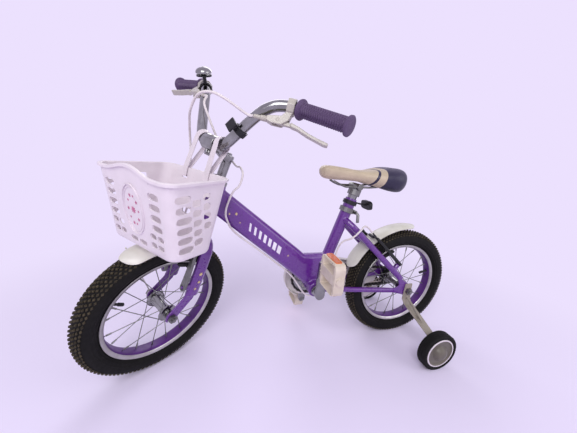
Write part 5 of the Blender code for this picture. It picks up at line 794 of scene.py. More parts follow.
class BICYCLE_OT_fenders(bpy.types.Operator):
    """The arched fenders and the front one's stay"""

    bl_idname = "bicycle.fenders"
    bl_label = "Fenders"

    def execute(self, context):
        start, end = FRONT_FENDER_START, radians(121)
        shell = fender(FRONT_AXLE, FRONT_FENDER, start, end, 56, 0.03, FRONT_SKIRT)
        foot = on_head(AXLE_ALONG + sqrt((FRONT_FENDER + FENDER_THICKNESS) ** 2 - FORK_RAKE**2) - 0.001, 0.0)
        top = on_head(0.1805, 0.0)
        post = turned([(0.006, 0.0), (0.006, (top - foot).length)], foot, top - foot, 20)
        eye_side = -0.0521
        ring = [(0.0125, -0.0008), (0.0125, 0.0008), (0.0056, 0.0008), (0.0056, -0.0008)]
        eye = turned(ring, FRONT_AXLE + SIDE * eye_side, SIDE, 32, True)
        way = toward(start + 0.12)
        edge = FRONT_FENDER - FRONT_SKIRT
        points = (
            (eye_side - 0.0006, 0.0115), (eye_side - 0.0006, 0.022),
            (-0.0322, edge - 0.006), (-0.031, edge + 0.003),
        )  # fmt: skip
        path = smooth_line([FRONT_AXLE + SIDE * side + way * out for side, out in points], 6)
        stay = sweep(path, oval(0.0014, 0.0014, 10), SIDE.cross(way))
        whole = joined([shell, post, eye, stay])
        add_piece("front_fender_moulded", whole, "fender", "steering", "front_fender", True, 42)
        shell = fender(AXLE, REAR_FENDER, radians(19.5), radians(97), 72, 0.027, 0.0075)
        add_piece("rear_fender_moulded", shell, "fender", "frame", "rear_fender", False, 42)
        return {"FINISHED"}


# Basket


DEPTH, REAR_HALF, FRONT_HALF, HEIGHT = 0.148, 0.096, 0.104, 0.144
FLOOR_DEPTH, FLOOR_HALF, FLOOR_SHIFT, CORNER = 0.09, 0.097, 0.036, 0.022
FRONT_LEAN = DEPTH - FLOOR_SHIFT - FLOOR_DEPTH
WALL = 0.0026
RIM_HUMP = 0.013
STRAP_SIDE, STRAP_DROP = 0.033, 0.016


def basket_place():
    """The basket's own directions at the middle of its top rear edge, where it hangs a little askew."""
    turn = Matrix.Identity(4)
    for angle, axis in ((8.2, "Z"), (-5.8, "Y"), (5.8, "X")):
        turn = turn @ Matrix.Rotation(radians(angle), 4, axis)
    return Matrix.Translation(on_head(0.3338, 0.0632, -0.002)) @ turn


def walls(share):
    """Rear and front wall and half their widths, from the floor (share 0) to the rim (share 1)."""
    rear, front = FLOOR_SHIFT * (1 - share), FLOOR_SHIFT + FLOOR_DEPTH + FRONT_LEAN * share
    return rear, front, FLOOR_HALF + (REAR_HALF - FLOOR_HALF) * share, FLOOR_HALF + (FRONT_HALF - FLOOR_HALF) * share


def basket_ring(share, inset, lift=0.0, hump=0.0):
    """A level ring of the basket, its front raised by the hump."""
    rear, front, half_rear, half_front = walls(share)
    rear, front, half_rear, half_front = rear + inset, front - inset, half_rear - inset, half_front - inset
    z = -HEIGHT * (1 - share) + lift
    corner = CORNER - inset * 0.5
    ring = []
    for cx, cy, start in (
        (front - corner, -half_front + corner, -pi / 2),
        (front - corner, half_front - corner, 0.0),
        (rear + corner, half_rear - corner, pi / 2),
        (rear + corner, -half_rear + corner, pi),
    ):
        for t in [start + pi / 2 * k / 8 for k in range(9)]:
            ring.append(Vector((cx + corner * cos(t), cy + corner * sin(t), z)))
        if start < 0:
            for y in [-0.79 + 1.58 * k / 24 for k in range(1, 24)]:
                rise = hump * 0.5 * (1 + cos(pi * min(1.0, abs(y) / 0.66)))
                ring.append(Vector((front, y * half_front, z + rise)))
    return ring


def on_wall(index, share, y):
    """A point of the rear wall, index 0, or of the front one, index 1."""
    return Vector((walls(share)[index], y, -HEIGHT * (1 - share)))


def side_wall(share, x, side):
    """A point of a side wall."""
    rear, front, half_rear, half_front = walls(share)
    half = half_rear + (half_front - half_rear) * (x - rear) / (front - rear)
    return Vector((x, half * side, -HEIGHT * (1 - share)))


def hole_spots():
    """The basket's holes as (middle, through, along the wall, width and height)."""
    spots = []
    for side in (-1, 1):
        for row in range(6):
            share = 0.15 + row * 0.134
            x = walls(share)[1] - 0.029
            spots.append((side_wall(share, x, side), SIDE, FORWARD, (0.031, 0.014)))
            for back, level, width in ((0.0267, share + 0.067, 0.02), (0.0525, share, 0.018)):
                if level < 0.85 and x - back - width / 2 > walls(level)[0] + CORNER * 0.75:
                    spots.append((side_wall(level, x - back, side), SIDE, FORWARD, (width, 0.0135)))
        flat = [(1, share, 0.064 * side, (0.028, 0.0125)) for share in (0.41, 0.545, 0.68, 0.81)]
        for share, y in ((0.155, 0.048), (0.155, 0.068), (0.28, 0.049), (0.28, 0.0695)):
            flat.append((1, share, y * side, (0.0165, 0.0115)))
        flat += [(0, share, y, (0.03, 0.012)) for share in (0.4, 0.65) for y in (-0.056 * side, 0.0)]
        flat.append((0, 1 - STRAP_DROP / HEIGHT, STRAP_SIDE * side, (0.017, 0.009)))
        if side > 0:
            flat += [(1, 0.115, y, (0.022, 0.0105)) for y in (-0.014, 0.014)]
        spots += [(on_wall(index, share, y), FORWARD, SIDE, size) for index, share, y, size in flat]
    return spots


def oval_ring(place, half_width, half_height, radius, lift):
    """A raised oval bead on the flat of a place."""
    line = [place @ Vector((a, b, lift)) for a, b in oval(half_width, half_height, 72)]
    return sweep(line, oval(radius, radius * 0.7, 8), place.to_3x3() @ Vector((0, 0, 1)), True)


class BICYCLE_OT_basket(bpy.types.Operator):
    """The perforated basket, its badge and the two straps that hang it on the handlebar"""

    bl_idname = "bicycle.basket"
    bl_label = "Basket and straps"

    def execute(self, context):
        place = basket_place()
        shares = [0.06 + 0.88 * k / 12 for k in range(13)]
        levels = [(share, 0.011 * max(0.0, share - 0.75) / 0.25) for share in shares]
        rings = [basket_ring(0.0, 0.0045), basket_ring(0.008, 0.0012), basket_ring(0.03, 0.0)]
        rings += [basket_ring(share, 0.0, 0.0, hump) for share, hump in levels]
        rings += [basket_ring(0.985, 0.0, -0.001, 0.0122)]
        lip = (
            (-0.0014, -0.003), (-0.0034, -0.003), (-0.0036, 0.0014),
            (-0.002, 0.0029), (WALL - 0.0008, 0.0029), (WALL, 0.0018),
        )  # fmt: skip
        rings += [basket_ring(1.0, inset, lift, RIM_HUMP) for inset, lift in lip]
        rings += [basket_ring(share, WALL, 0.0, hump) for share, hump in reversed(levels)]
        rings += [basket_ring(0.03, WALL + 0.0012), basket_ring(0.0, WALL + 0.0045, WALL)]
        shell = to_mesh("basket_shell", skin([[place @ point for point in ring] for ring in rings]))
        turn = place.to_3x3()
        spots = [(place @ at, turn @ through, turn @ along, (*size, 1.0)) for at, through, along, size in hole_spots()]
        holes = placed_object("hole_spots", spots_mesh("hole_spots", spots))
        cut = run_tree(perforation_tree(), shell, {"Holes": holes, "Through": 0.018, "Roundness": 0.62})
        bpy.data.objects.remove(holes, do_unlink=True)
        add_piece("basket_moulded", cut, "basket", "steering", "basket", True, 30, settings().hole_edge)
        flat = place @ axes(on_wall(1, 0.54, 0.0), SIDE, Vector((FRONT_LEAN, 0.0, HEIGHT)))
        for name, half_width, half_height, radius, lift in (
            ("badge_ring", 0.03, 0.048, 0.0016, 0.0004),
            ("badge_inner_ring", 0.0255, 0.0425, 0.0008, 0.0002),
        ):
            ring = oval_ring(flat, half_width, half_height, radius, lift)
            add_piece(name, ring, "basket", "steering", (), True)
        motif = []
        for k in range(10):
            way = toward(tau * k / 10, FORWARD, SIDE)
            small = axes(Vector((0.015 * way.x, 0.028 * way.y, 0.0)), way, UP.cross(way))
            motif.append(plate(star(0.0038 if k % 2 else 0.0026, 5), -0.0002, 0.0004, flat @ small))
        motif.append(plate(star(0.0075, 8), -0.0002, 0.0004, flat))
        add_piece("badge_print", joined(motif), "sticker_pink", "steering", (), True)
        for side, end in BOTH_SIDES:
            name = "basket_strap_"
            add_piece(name + "band_" + end, strap(side), "basket", "steering", name + end, True, 50, 0.0004)
        return {"FINISHED"}


def strap(side):
    """A band looped over the handlebar and through a slot under the basket's rear rim."""
    place = basket_place()
    half = 0.00075
    bar, _ = bar_at(STRAP_SIDE * side)
    tilt = radians(15)
    outward = SIDE * cos(tilt) + HEAD_UP * (sin(tilt) * side)
    ahead = (HEAD_OUT - outward * HEAD_OUT.dot(outward)).normalized()
    above = ahead.cross(outward)
    radius = BAR_RADIUS + 0.0048 + half
    turns = [(pi + 0.3) * k / 12 - 0.15 for k in range(13)]
    path = [bar + toward(turn, ahead, above) * radius for turn in turns]
    wall_x = FLOOR_SHIFT * STRAP_DROP / HEIGHT
    clear = half + 0.0009
    lower = (
        (-0.0036 - clear, 0.003), (-0.0036 - clear, -0.0045), (wall_x - clear - 0.0014, -STRAP_DROP),
        (wall_x + WALL + clear + 0.0004, -STRAP_DROP), (WALL + clear + 0.0008, 0.003),
    )  # fmt: skip
    ways = [outward] * len(path) + [place.to_3x3() @ SIDE] * len(lower)
    path += [place @ Vector((x, STRAP_SIDE * side, z)) for x, z in lower]
    return sweep(path, [(-0.007, -half), (0.007, -half), (0.007, half), (-0.007, half)], ways, True)


# Cockpit


def bar_line():
    """Points of the left half of the handlebar's middle line, from the clamp to its end."""
    rises = (
        (0.027, 0.0, 0.0), (0.039, 0.007, -0.0002), (0.05, 0.0184, -0.0006), (0.075, 0.0604, -0.0056),
        (0.094, 0.0901, -0.0106), (0.1045, 0.1022, -0.0143), (0.117, 0.112, -0.02), (0.133, 0.1188, -0.0292),
        (0.159, 0.1216, -0.0385), (BAR_HALF, 0.1146, -0.0417),
    )  # fmt: skip
    return [on_head(BAR_ALONG + up, BAR_OUT + out, side) for side, up, out in rises]


def mirror_point(point):
    return Vector((point.x, -point.y, point.z))


def bar_at(side):
    """The handlebar's middle and its outward direction where it has got this far from the middle."""
    line = [on_head(BAR_ALONG, BAR_OUT), *bar_line()]
    reach = min(abs(side), line[-1].y)
    for first, second in zip(line, line[1:]):
        if first.y <= reach <= second.y:
            place = first.lerp(second, (reach - first.y) / (second.y - first.y))
            way = (second - first).normalized()
            return (place, way) if side >= 0 else (mirror_point(place), mirror_point(way))
    raise ValueError("the handlebar isn't that wide")


def grip(side):
    """A rubber grip with wavy ribs between its two flanges."""
    start, end = bar_at(GRIP_START * side)[0], bar_at(BAR_HALF * side)[0]
    way = (end - start).normalized()
    first, second = across(way)
    length = (end - start).length + 0.003
    pitch, sides = settings().rib_pitch, 72
    ribbed = length - 0.019
    count = round(ribbed / (pitch / 6))
    collar = (
        (0.0, 0.0116), (0.0, 0.018), (0.0008, 0.0191), (0.003, 0.0195), (0.0044, 0.0185), (0.006, 0.0155),
    )  # fmt: skip
    flange = (
        (0.0085, 0.0136), (0.0058, 0.015), (0.0046, 0.018), (0.0016, 0.0183), (0.0006, 0.0172), (0.0, 0.014),
    )  # fmt: skip
    rings = [circle(start + way * place, first, second, radius, sides) for place, radius in collar]
    for place in [0.0085, *[0.009 + ribbed * k / count for k in range(count + 1)]]:
        ring = []
        for t in [tau * k / sides for k in range(sides)]:
            wave = sin(tau * (place + RIB_WAVE * sin(6 * t)) / pitch)
            ring.append(start + way * place + toward(t, first, second) * (GRIP_RADIUS + RIB_HEIGHT * wave))
        rings.append(ring)
    rings += [circle(start + way * (length - back), first, second, radius, sides) for back, radius in flange]
    return skin([*rings, [start + way * length]])


class BICYCLE_OT_cockpit(bpy.types.Operator):
    """Handlebar, stem, grips, levers, bell and the reflector's bracket"""

    bl_idname = "bicycle.cockpit"
    bl_label = "Handlebar and controls"

    def execute(self, context):
        line = bar_line()
        path = smooth_line([mirror_point(p) for p in reversed(line)] + line, 5)
        bar = sweep(path, oval(BAR_RADIUS, BAR_RADIUS, 28), HEAD_UP)
        add_piece("handlebar_bent_tube", bar, "chrome", "steering", "handlebar", True, 60)
        for side, end in BOTH_SIDES:
            add_piece("grip_ribbed_" + end, grip(side), "grip", "steering", "grip_" + end, True, 42)
            soften("lever_perch_" + end, "lever", 0.0008, 6)
            soften("brake_lever_" + end, "lever", 0.0008, 7)
        for node in ("stem_bolt", "headset_lower", "headset_upper"):
            dress(node, "chrome", 0.0008)
        soften("stem", "chrome", 0.001, 5)
        for node, rounding in (("reflector_bracket", 0.0008), ("bell_base", 0.0006), ("bell_lever", 0.0006)):
            dress(node, "black_plastic", rounding)
        centre, outward = bar_at(BELL_SIDE)
        up = HEAD_UP * 0.84 + HEAD_OUT * 0.54
        up = (up - outward * up.dot(outward)).normalized()
        radius, height = 0.0185, 0.0135
        dome = [(radius - 0.0004, 0.0), (radius, 0.0005), (radius, 0.0016)]
        for t in [pi / 2 * k / 16 for k in range(1, 16)]:
            dome.append((radius * cos(t), 0.0016 + (height - 0.0024) * sin(t)))
        dome += [(0.0024, height - 0.0008), (0.0022, height - 0.0002), (0.0014, height), (0.0, height)]
        bell = turned(dome, centre + up * 0.0338, up, 64)
        add_piece("bell_dome_spun", bell, "chrome", "steering", "bell_dome", True, 35)
        return {"FINISHED"}


# Cables


CABLE_DIAMETER = 0.005
BARREL_TIP = Vector((-0.066, 0.0335, 0.0))
# Where a cable enters its brake: out from the stay or the steering axis, to the side, and up to two heights
BRAKE_OUT, BRAKE_SIDE = 0.0283, 0.042
FRONT_BOOT, REAR_BOOT, BOOT_LENGTH = 0.2153, 0.2253, 0.022
# The seat stay's ends: up from the rear axle, and up the seat tube
STAY_FOOT, STAY_TOP = 0.013, 0.212


def barrel_points(side):
    """Two points where a cable leaves a brake lever's barrel."""
    centre, outward = bar_at(LEVER_SIDE * side)
    share = -0.5 * side
    outward = (outward * (1 - share) + SIDE * (side * share)).normalized()
    turn = radians(14 if side > 0 else 42)
    reach = HEAD_OUT * sin(turn) - HEAD_UP * cos(turn)
    reach = (reach - outward * reach.dot(outward)).normalized()
    place = axes(centre, outward, reach)
    return [place @ (BARREL_TIP - FORWARD * back) for back in (0.001, 0.014)]


def add_cable(name, points, body, node):
    """A casing along a smooth line."""
    path = smooth_line(points, 8)
    casing = sweep(path, oval(CABLE_DIAMETER / 2, CABLE_DIAMETER / 2, 14), path_normals(path))
    made = add_piece(name, casing, "casing", body, node, False, 60)


def path_normals(path):
    """Width directions that turn as little as they can along a path."""
    ways = tangents(path)
    wide = across(ways[0])[0]
    found = []
    for way in ways:
        wide = (wide - way * wide.dot(way)).normalized()
        found.append(wide.copy())
    return found


class BICYCLE_OT_cables(bpy.types.Operator):
    """The two brake cables in their white casings"""

    bl_idname = "bicycle.cables"
    bl_label = "Brake cables"

    def execute(self, context):
        route = (
            (0.485, 0.103, 0.056), (0.486, 0.118, 0.03), (0.474, 0.124, 0.005), (0.445, 0.113, -0.02),
            (0.422, 0.091, -0.044), (0.4, 0.074, -0.056), (0.365, 0.058, -0.057), (0.315, 0.044, -0.052),
            (0.268, 0.034, -0.0455),
            (FRONT_BOOT + BOOT_LENGTH, BRAKE_OUT, -BRAKE_SIDE), (FRONT_BOOT, BRAKE_OUT, -BRAKE_SIDE),
        )  # fmt: skip
        front = [STEERED @ p for p in barrel_points(1) + [on_head(*p) for p in route]]
        add_cable("front_cable_casing", front, "steering", "front_brake_cable")
        route = (
            (0.474, 0.066, -0.056), (0.446, 0.05, -0.04), (0.42, 0.029, -0.029), (0.4, 0.01, -0.026),
        )  # fmt: skip
        rear = [STEERED @ p for p in barrel_points(-1) + [on_head(*p) for p in route]]
        beside_head = (
            (0.386, -0.004, -0.025), (0.374, -0.025, -0.008), (0.375, -0.033, 0.015),
            (0.363, -0.042, 0.029), (0.336, -0.044, 0.029),
        )  # fmt: skip
        along_tubes = (
            (0.535, 0.0255, 0.461), (0.549, 0.0245, 0.42), (0.545, 0.024, 0.392), (0.524, 0.012, 0.3575),
            (0.46, 0.004, 0.3045), (0.39, 0.003, 0.248), (0.356, 0.003, 0.214), (0.318, 0.004, 0.162),
            (0.286, 0.006, 0.156), (0.257, 0.009, 0.172), (0.247, 0.011, 0.215), (0.243, 0.02, 0.27),
            (0.24, 0.025, 0.31), (0.232, 0.034, 0.335), (0.213, 0.048, 0.35), (0.193, 0.051, 0.371),
            (0.179, 0.046, 0.382),
        )  # fmt: skip
        rear += [on_head(*p) for p in beside_head] + [Vector(p) for p in along_tubes]
        stay_foot = AXLE + UP * STAY_FOOT
        stay_up = (SEAT_FOOT + SEAT_UP * STAY_TOP - stay_foot).normalized()
        stay_out = Vector((-stay_up.z, 0.0, stay_up.x))
        for height in (REAR_BOOT + BOOT_LENGTH, REAR_BOOT):
            rear.append(stay_foot + stay_up * height + stay_out * BRAKE_OUT + SIDE * BRAKE_SIDE)
        bend = ("frame", "steering", (0.535, 0.0255, 0.461), (0.56, 0.0, 0.55))
        add_cable("rear_cable_casing", rear, bend, "rear_brake_cable")
        return {"FINISHED"}


# Saddle


# Share of the saddle's length from its nose, half width, crown, skirt and underside
SADDLE_STATIONS = (
    (0.0, 0.008, 0.03, 0.013, 0.013), (0.03, 0.0175, 0.037, 0.005, 0.005),
    (0.1, 0.0225, 0.0395, 0.001, 0.001), (0.25, 0.025, 0.037, -0.001, 0.0),
    (0.42, 0.03, 0.032, -0.004, 0.0), (0.55, 0.043, 0.032, -0.011, -0.0005),
    (0.66, 0.057, 0.037, -0.02, -0.001), (0.78, 0.066, 0.043, -0.028, -0.001),
    (0.89, 0.064, 0.044, -0.03, 0.0), (0.965, 0.049, 0.04, -0.024, 0.004),
    (1.0, 0.023, 0.028, -0.004, 0.011),
)  # fmt: skip
SADDLE_LENGTH = 0.245
SEATPOST_TOP, SADDLE_NOSE, SADDLE_BASE = 0.3, 0.111, 0.025
SADDLE_SIDES = 56
# The rings that the saddle's seams lie on, with their shares of its length, between its two ends
SEAMS = ((0, 0.0), (37, 0.615), (39, 0.64), (43, 0.705), (64, 1.0))


def saddle_station(share):
    """Half width, crown, skirt and underside at a place along the saddle."""
    share = min(max(share, 0.0), 1.0)
    line = (SADDLE_STATIONS[0], *SADDLE_STATIONS, SADDLE_STATIONS[-1])
    for before, low, high, after in zip(line, line[1:], line[2:], line[3:]):
        if share <= high[0]:
            step = high[0] - low[0]
            t = (share - low[0]) / step
            found = []
            for j in (1, 2, 3, 4):
                rise_in = (high[j] - before[j]) / (high[0] - before[0]) * step
                rise_out = (after[j] - low[j]) / (after[0] - low[0]) * step
                start = (2 * t**3 - 3 * t**2 + 1) * low[j] + (t**3 - 2 * t**2 + t) * rise_in
                found.append(start + (-2 * t**3 + 3 * t**2) * high[j] + (t**3 - t**2) * rise_out)
            return found


def saddle_shares():
    """Places of the saddle's rings: closer at both ends, and one on every seam."""
    shares = [0.0]
    for (low, a), (high, b) in zip(SEAMS, SEAMS[1:]):
        for t in [k / (high - low) for k in range(1, high - low + 1)]:
            if low == 0:
                t = 1 - cos(t * pi / 2)
            if b == 1.0:
                t = sin(t * pi / 2)
            shares.append(a + (b - a) * t)
    return shares


class BICYCLE_OT_saddle(bpy.types.Operator):
    """The padded saddle in two colours, its rails and its post"""

    bl_idname = "bicycle.saddle"
    bl_label = "Saddle"

    def execute(self, context):
        post_top = SEAT_FOOT + SEAT_UP * SEATPOST_TOP
        nose_x, base = post_top.x + SADDLE_NOSE, post_top.z + SADDLE_BASE
        seam_rings = [ring for ring, _ in SEAMS[1:-1]]
        rings = []
        for k, share in enumerate(saddle_shares()):
            ring = []
            window = sin(pi * share) ** 2
            for a, b in oval(1.0, 1.0, SADDLE_SIDES, 2.5):
                place = share + (-0.085 * (1 - b) / 2 + 0.035 * b * (1 - a * a)) * window
                wide, top, skirt, under = saddle_station(place)
                inward = 0.985 if k in seam_rings and b > -0.6 else 1.0
                middle = (top + skirt) / 2
                rim = min(max((abs(a) - 0.3) / 0.45, 0.0), 1.0)
                low = under + (skirt - under) * rim * rim * (3 - 2 * rim)
                height = middle + ((top - middle) if b > 0 else (middle - low)) * b * inward
                sag = 0.0035 * (1 - abs(a)) if b > 0 else 0.0
                flank = wide * a * (1.0 if b > 0 else 0.88 + 0.12 * (1 + b)) * inward
                ring.append(Vector((nose_x - SADDLE_LENGTH * place, flank, base + height - sag)))
            rings.append(ring)
        first, second, third = seam_rings
        caps = len(rings) - 1

        def is_dark(face):
            """The stripe and the rear; the nose's end cap comes right after the bands."""
            band = face.index // SADDLE_SIDES
            return int(face.center.x < nose_x - 0.12 if band >= caps else first <= band < second or band >= third)

        vinyls = ["pale_vinyl", "dark_vinyl"]
        cover = add_piece("saddle_cover", skin(rings), vinyls, "seat", "saddle", crease=60, faces=is_dark)
        soften("saddle_rails", "zinc", 0.0009, 4)
        dress("seatpost", "chrome")
        return {"FINISHED"}


# Frame, brakes and drive


def tube_side(share, rise, side, lift):
    """A point on the flat side of the main tube's straight run, from its bend to the head tube."""
    low_a, low_b = BB + Vector((0.0516, 0.0, 0.1142)), BB + Vector((0.094, 0.0, 0.0648))
    high_a, high_b = on_head(0.3166, -0.004), on_head(0.2501, -0.004)
    upper, lower = low_a.lerp(high_a, share), low_b.lerp(high_b, share)
    half = (0.0185 - 0.0025 * share) * 0.9755
    return (upper + lower) / 2 + (upper - lower) / 2 * rise + SIDE * ((half + lift) * side)


def tube_prints():
    """Outlines on the tube's side by finish: slanted bars that thin out along it, small stars near the head."""
    bars = []
    for k in range(7):
        start, end = 0.155 + 0.066 * k, 0.201 + 0.062 * k
        bars.append([(start, -0.3), (end, -0.3), (end + 0.03, 0.26), (start + 0.03, 0.26)])
    stars = []
    for share, rise, size in ((0.76, 0.14, 0.03), (0.82, -0.18, 0.022), (0.69, -0.22, 0.016), (0.07, 0.05, 0.018)):
        stars.append([(share + x * size * 0.5, rise + y * size * 4.6) for x, y in star(1.0, 6)])
    return {"sticker": bars, "sticker_gold": stars}


def tube_film(outline, side):
    """An outline printed on one side of the main tube, its edge let into the paint."""
    return skin([[tube_side(x, y, side, lift) for x, y in outline] for lift in (0.00035, -0.0006)])


class BICYCLE_OT_frame(bpy.types.Operator):
    """The painted frame and fork with their generic stickers, and the small pieces fixed to them"""

    bl_idname = "bicycle.frame"
    bl_label = "Frame and fork"

    def execute(self, context):
        soften("frame", "enamel", 0.0018, 6)
        soften("fork", "enamel", 0.0014, 6)
        for finish, outlines in tube_prints().items():
            films = [tube_film(outline, side) for side in (1, -1) for outline in outlines]
            add_piece("tube_print_" + finish, joined(films), finish, "frame")
        stars = []
        for side in (1, -1):
            for along, out, size in ((0.106, 0.001, 0.0052), (0.084, -0.002, 0.004), (0.066, 0.002, 0.0032)):
                flat = axes(on_head(along, out, 0.055 * side), HEAD_OUT, HEAD_UP)
                stars.append(plate(star(size, 6), -0.0012, 0.0001, flat))
        add_piece("fork_print", joined(stars), "sticker_gold", "steering", (), True)
        dress("chain_guard", "guard", 0.0006)
        dress("seat_clamp", "zinc", 0.0006)
        dress("rear_reflector", "black_plastic", 0.0008)
        housing = SEAT_FOOT + SEAT_UP * 0.262 + Vector((-0.056, 0.0, -0.007))
        flat = axes(housing, SIDE, Vector((0.1, 0.0, 1.0)))
        lens = plate(oval(0.0205, 0.0098, 40, 4.0), -0.0058, -0.004, flat)
        add_piece("rear_reflector_lens", lens, "red", "frame", rounding=0.0006)
        return {"FINISHED"}


class BICYCLE_OT_brakes(bpy.types.Operator):
    """Brake arms and blocks at both wheels"""

    bl_idname = "bicycle.brakes"
    bl_label = "Brakes"

    def execute(self, context):
        for end, finish in (("front", "zinc"), ("rear", "black_steel")):
            for side in ("left", "right"):
                soften(f"{end}_brake_arm_{side}", finish, 0.0008, 3)
                dress(f"{end}_brake_pad_{side}", "block")
        return {"FINISHED"}


def chain_pins():
    """The chain's pins as points round both pitch circles."""
    front_radius, rear_radius = (CHAIN_PITCH / (2 * sin(pi / n)) for n in (RING_TEETH, SPROCKET_TEETH))
    between = BB - AXLE
    slope = atan2(between.z, between.x)
    lean = acos((rear_radius - front_radius) / between.length)
    run = sqrt(between.length**2 - (front_radius - rear_radius) ** 2)
    upper, lower = slope + lean, slope - lean
    front, rear = (BB, front_radius), (AXLE, rear_radius)
    # Each stretch's length, its two ends' centres and radii, its first angle and how fast that turns
    stretches = (
        (run, front, rear, upper, 0.0),
        (rear_radius * (tau - 2 * lean), rear, rear, upper, 1 / rear_radius),
        (run, rear, front, lower, 0.0),
        (front_radius * 2 * lean, front, front, lower, 1 / front_radius),
    )
    whole = sum(stretch[0] for stretch in stretches)
    count = round(whole / CHAIN_PITCH)
    found = []
    for length in [whole * k / count for k in range(count)]:
        for reach, (a, radius_a), (b, radius_b), angle, rate in stretches:
            if length < reach:
                break
            length -= reach
        way = toward(angle + length * rate)
        found.append((a + way * radius_a).lerp(b + way * radius_b, length / reach) + SIDE * CHAIN_SIDE)
    return found


class BICYCLE_OT_drive(bpy.types.Operator):
    """Chain, toothed rings, cranks and pedals"""

    bl_idname = "bicycle.drive"
    bl_label = "Drive train"

    def execute(self, context):
        pins = chain_pins()
        eyes, bars = [], []
        for k, pin in enumerate(pins):
            following = pins[(k + 1) % len(pins)]
            apart = 0.0036 if k % 2 else 0.0027
            for side in (-apart, apart):
                eyes += [(place + SIDE * side, SIDE, FORWARD) for place in (pin, following)]
                bars.append(((pin + following) / 2 + SIDE * side, SIDE, (following - pin).normalized()))
        rollers = [(pin, SIDE, FORWARD) for pin in pins]
        for name, spots, sizes, sides, replaced in (
            ("link_eyes", eyes, (0.0076, 0.0076, 0.0009), 14, "chain"),
            ("link_waists", bars, (0.0066, 0.0178, 0.00088), 4, ()),
            ("rollers", rollers, (0.0056, 0.0056, 0.006), 16, ()),
        ):
            links = repeated("Chain " + name, spots, sizes, "chain", sides)
            add_piece("chain_" + name, links, "chain", "frame", replaced, False, 30)
        soften("crank", "chrome", 0.001, 4)
        dress("chainring", "chrome", 0.0006)
        dress("sprocket", "black_steel")
        for side, end in BOTH_SIDES:
            dress("pedal_spindle_" + end, "zinc")
            soften("pedal_" + end, "pedal", 0.001, 3)
            self.add_pedal_details(side, end)
        return {"FINISHED"}

    def add_pedal_details(self, side, end):
        """Reflectors let into the pedal's two long edges, and rows of small grip studs on its faces."""
        middle = BB + Vector((0.0, PEDAL_SIDE[side], CRANK_LENGTH * side))
        lenses = []
        for up in (-1, 1):
            flat = axes(middle + Vector((0.0, 0.0, 0.0424 * up)), SIDE, FORWARD)
            lenses.append(plate(oval(0.029, 0.0092, 32, 7.0), -0.0012, 0.0012, flat))
        body = end + "_pedal"
        add_piece("pedal_reflectors_" + end, joined(lenses), "orange", body, rounding=0.0005)
        places = [(-0.032 + 0.0064 * k, row) for row in (-0.0385, 0.0385) for k in range(11)]
        places += [(edge, -0.03 + 0.0075 * k) for edge in (-0.0368, 0.0368) for k in range(9)]
        spots = []
        for face in (-1, 1):
            spots += [(middle + Vector((0.0138 * face, y, z)), FORWARD * face, SIDE) for y, z in places]
        studs = repeated("Pedal studs " + end, spots, (0.003, 0.003, 0.0016), "pedal", 4, 0.5)
        add_piece("pedal_grip_studs_" + end, studs, "pedal", body, (), False, 30)


# Stage


def fresh_tree(owner):
    """The emptied node tree of a material or world."""
    owner.use_nodes = True
    owner.node_tree.nodes.clear()
    return owner.node_tree


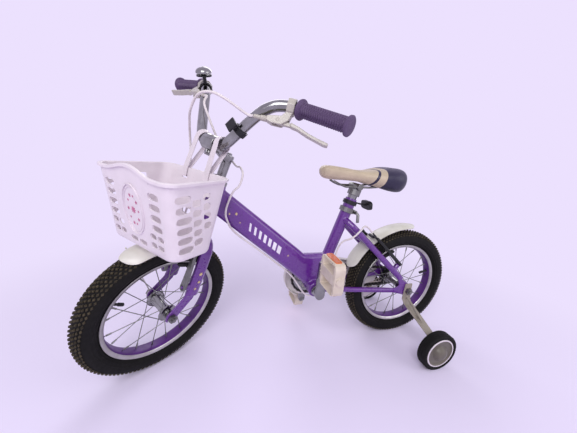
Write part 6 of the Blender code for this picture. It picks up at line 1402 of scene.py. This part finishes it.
class BICYCLE_OT_stage(bpy.types.Operator):
    """Pale floor, plain light and the photograph's camera"""

    bl_idname = "bicycle.stage"
    bl_label = "Stage, light and camera"

    def execute(self, context):
        scene = context.scene
        scene.view_settings.view_transform = "Standard"
        pale = (*linear("ECE1FE"), 1.0)
        bm = bmesh.new()
        bmesh.ops.create_grid(bm, x_segments=2, y_segments=2, size=14.0)
        floor = placed_object("floor", to_mesh("floor", bm))
        material = bpy.data.materials.new("pale_floor")
        tree = fresh_tree(material)
        place = add_node(tree, "ShaderNodeTexCoord").outputs["Object"]
        away = add_node(tree, "ShaderNodeVectorMath", {0: place, 1: (0.35, 0.0, 0.0)}, operation="DISTANCE")
        ends = {"Value": away.outputs["Value"], "From Min": 0.55, "From Max": 1.3}
        fade = add_node(tree, "ShaderNodeMapRange", ends, interpolation_type="SMOOTHSTEP").outputs["Result"]
        matt = add_node(tree, "ShaderNodeBsdfDiffuse", {"Color": pale}).outputs[0]
        even = add_node(tree, "ShaderNodeEmission", {"Color": pale, "Strength": 1.0}).outputs[0]
        mixed = add_node(tree, "ShaderNodeMixShader", {0: fade, 1: matt, 2: even}).outputs[0]
        add_node(tree, "ShaderNodeOutputMaterial", {"Surface": mixed})
        floor.data.materials.append(material)

        scene.world = bpy.data.worlds.new("studio")
        tree = fresh_tree(scene.world)
        path = add_node(tree, "ShaderNodeLightPath").outputs
        seen = calculated(tree, "MAXIMUM", path["Is Camera Ray"], path["Is Glossy Ray"])
        seen = calculated(tree, "MAXIMUM", seen, path["Is Transmission Ray"])
        shades = (((*linear("F7F6FC"), 1.0), 0.55), (pale, 1.0))
        lit, sky = (
            add_node(tree, "ShaderNodeBackground", {"Color": colour, "Strength": power}).outputs[0]
            for colour, power in shades
        )
        mixed = add_node(tree, "ShaderNodeMixShader", {0: seen, 1: lit, 2: sky}).outputs[0]
        add_node(tree, "ShaderNodeOutputWorld", {"Surface": mixed})

        for label, where, power, extent in (
            ("key", (1.15, 1.55, 1.75), 26.0, 1.2),
            ("fill", (-1.1, 1.3, 1.2), 9.0, 1.4),
            ("back", (0.2, -1.6, 1.6), 9.0, 1.2),
        ):
            lamp = bpy.data.lights.new(label, "AREA")
            lamp.energy = power
            lamp.size = extent
            holder = placed_object(label, lamp)
            holder.location = where
            aim = Vector((0.4, 0.0, 0.3)) - Vector(where)
            holder.rotation_euler = aim.to_track_quat("-Z", "Y").to_euler()

        # The camera as fitted to the photograph: a rotation vector, a place and a lens
        turn = Vector((0.2531, 2.3046, -1.7608))
        right, down, ahead = Quaternion(turn.normalized(), turn.length).to_matrix()
        camera = bpy.data.cameras.new("photograph")
        camera.sensor_width = 36.0
        camera.lens = 15.83
        camera.clip_start = 0.01
        scene.camera = placed_object("photograph", camera)
        placed = Matrix((right, -down, -ahead)).transposed().to_4x4()
        placed.translation = Vector((0.5779, 0.6264, 0.5681))
        scene.camera.matrix_world = placed
        return {"FINISHED"}


OPERATORS = (
    BICYCLE_OT_stage,
    BICYCLE_OT_frame,
    BICYCLE_OT_wheels,
    BICYCLE_OT_training_wheels,
    BICYCLE_OT_fenders,
    BICYCLE_OT_basket,
    BICYCLE_OT_cockpit,
    BICYCLE_OT_cables,
    BICYCLE_OT_saddle,
    BICYCLE_OT_brakes,
    BICYCLE_OT_drive,
)


class BICYCLE_PT_panel(bpy.types.Panel):
    """Lists the steps and the sizes and colours they read"""

    bl_label = "Bicycle"
    bl_idname = "BICYCLE_PT_panel"
    bl_space_type = "VIEW_3D"
    bl_region_type = "UI"
    bl_category = "Bicycle"

    def draw(self, context):
        column = self.layout.column()
        for name in BicycleSettings.__annotations__:
            column.prop(context.scene.bicycle_settings, name)
        for operator in OPERATORS:
            column.operator(operator.bl_idname)


CLASSES = (BicycleSettings, *OPERATORS, BICYCLE_PT_panel)


def register():
    for cls in CLASSES:
        bpy.utils.register_class(cls)
    bpy.types.Scene.bicycle_settings = bpy.props.PointerProperty(type=BicycleSettings)


def unregister():
    del bpy.types.Scene.bicycle_settings
    for cls in reversed(CLASSES):
        bpy.utils.unregister_class(cls)


def main():
    register()
    make_finishes()
    for operator in OPERATORS:
        area, call = operator.bl_idname.split(".")
        getattr(getattr(bpy.ops, area), call)()


if __name__ == "__main__":
    main()
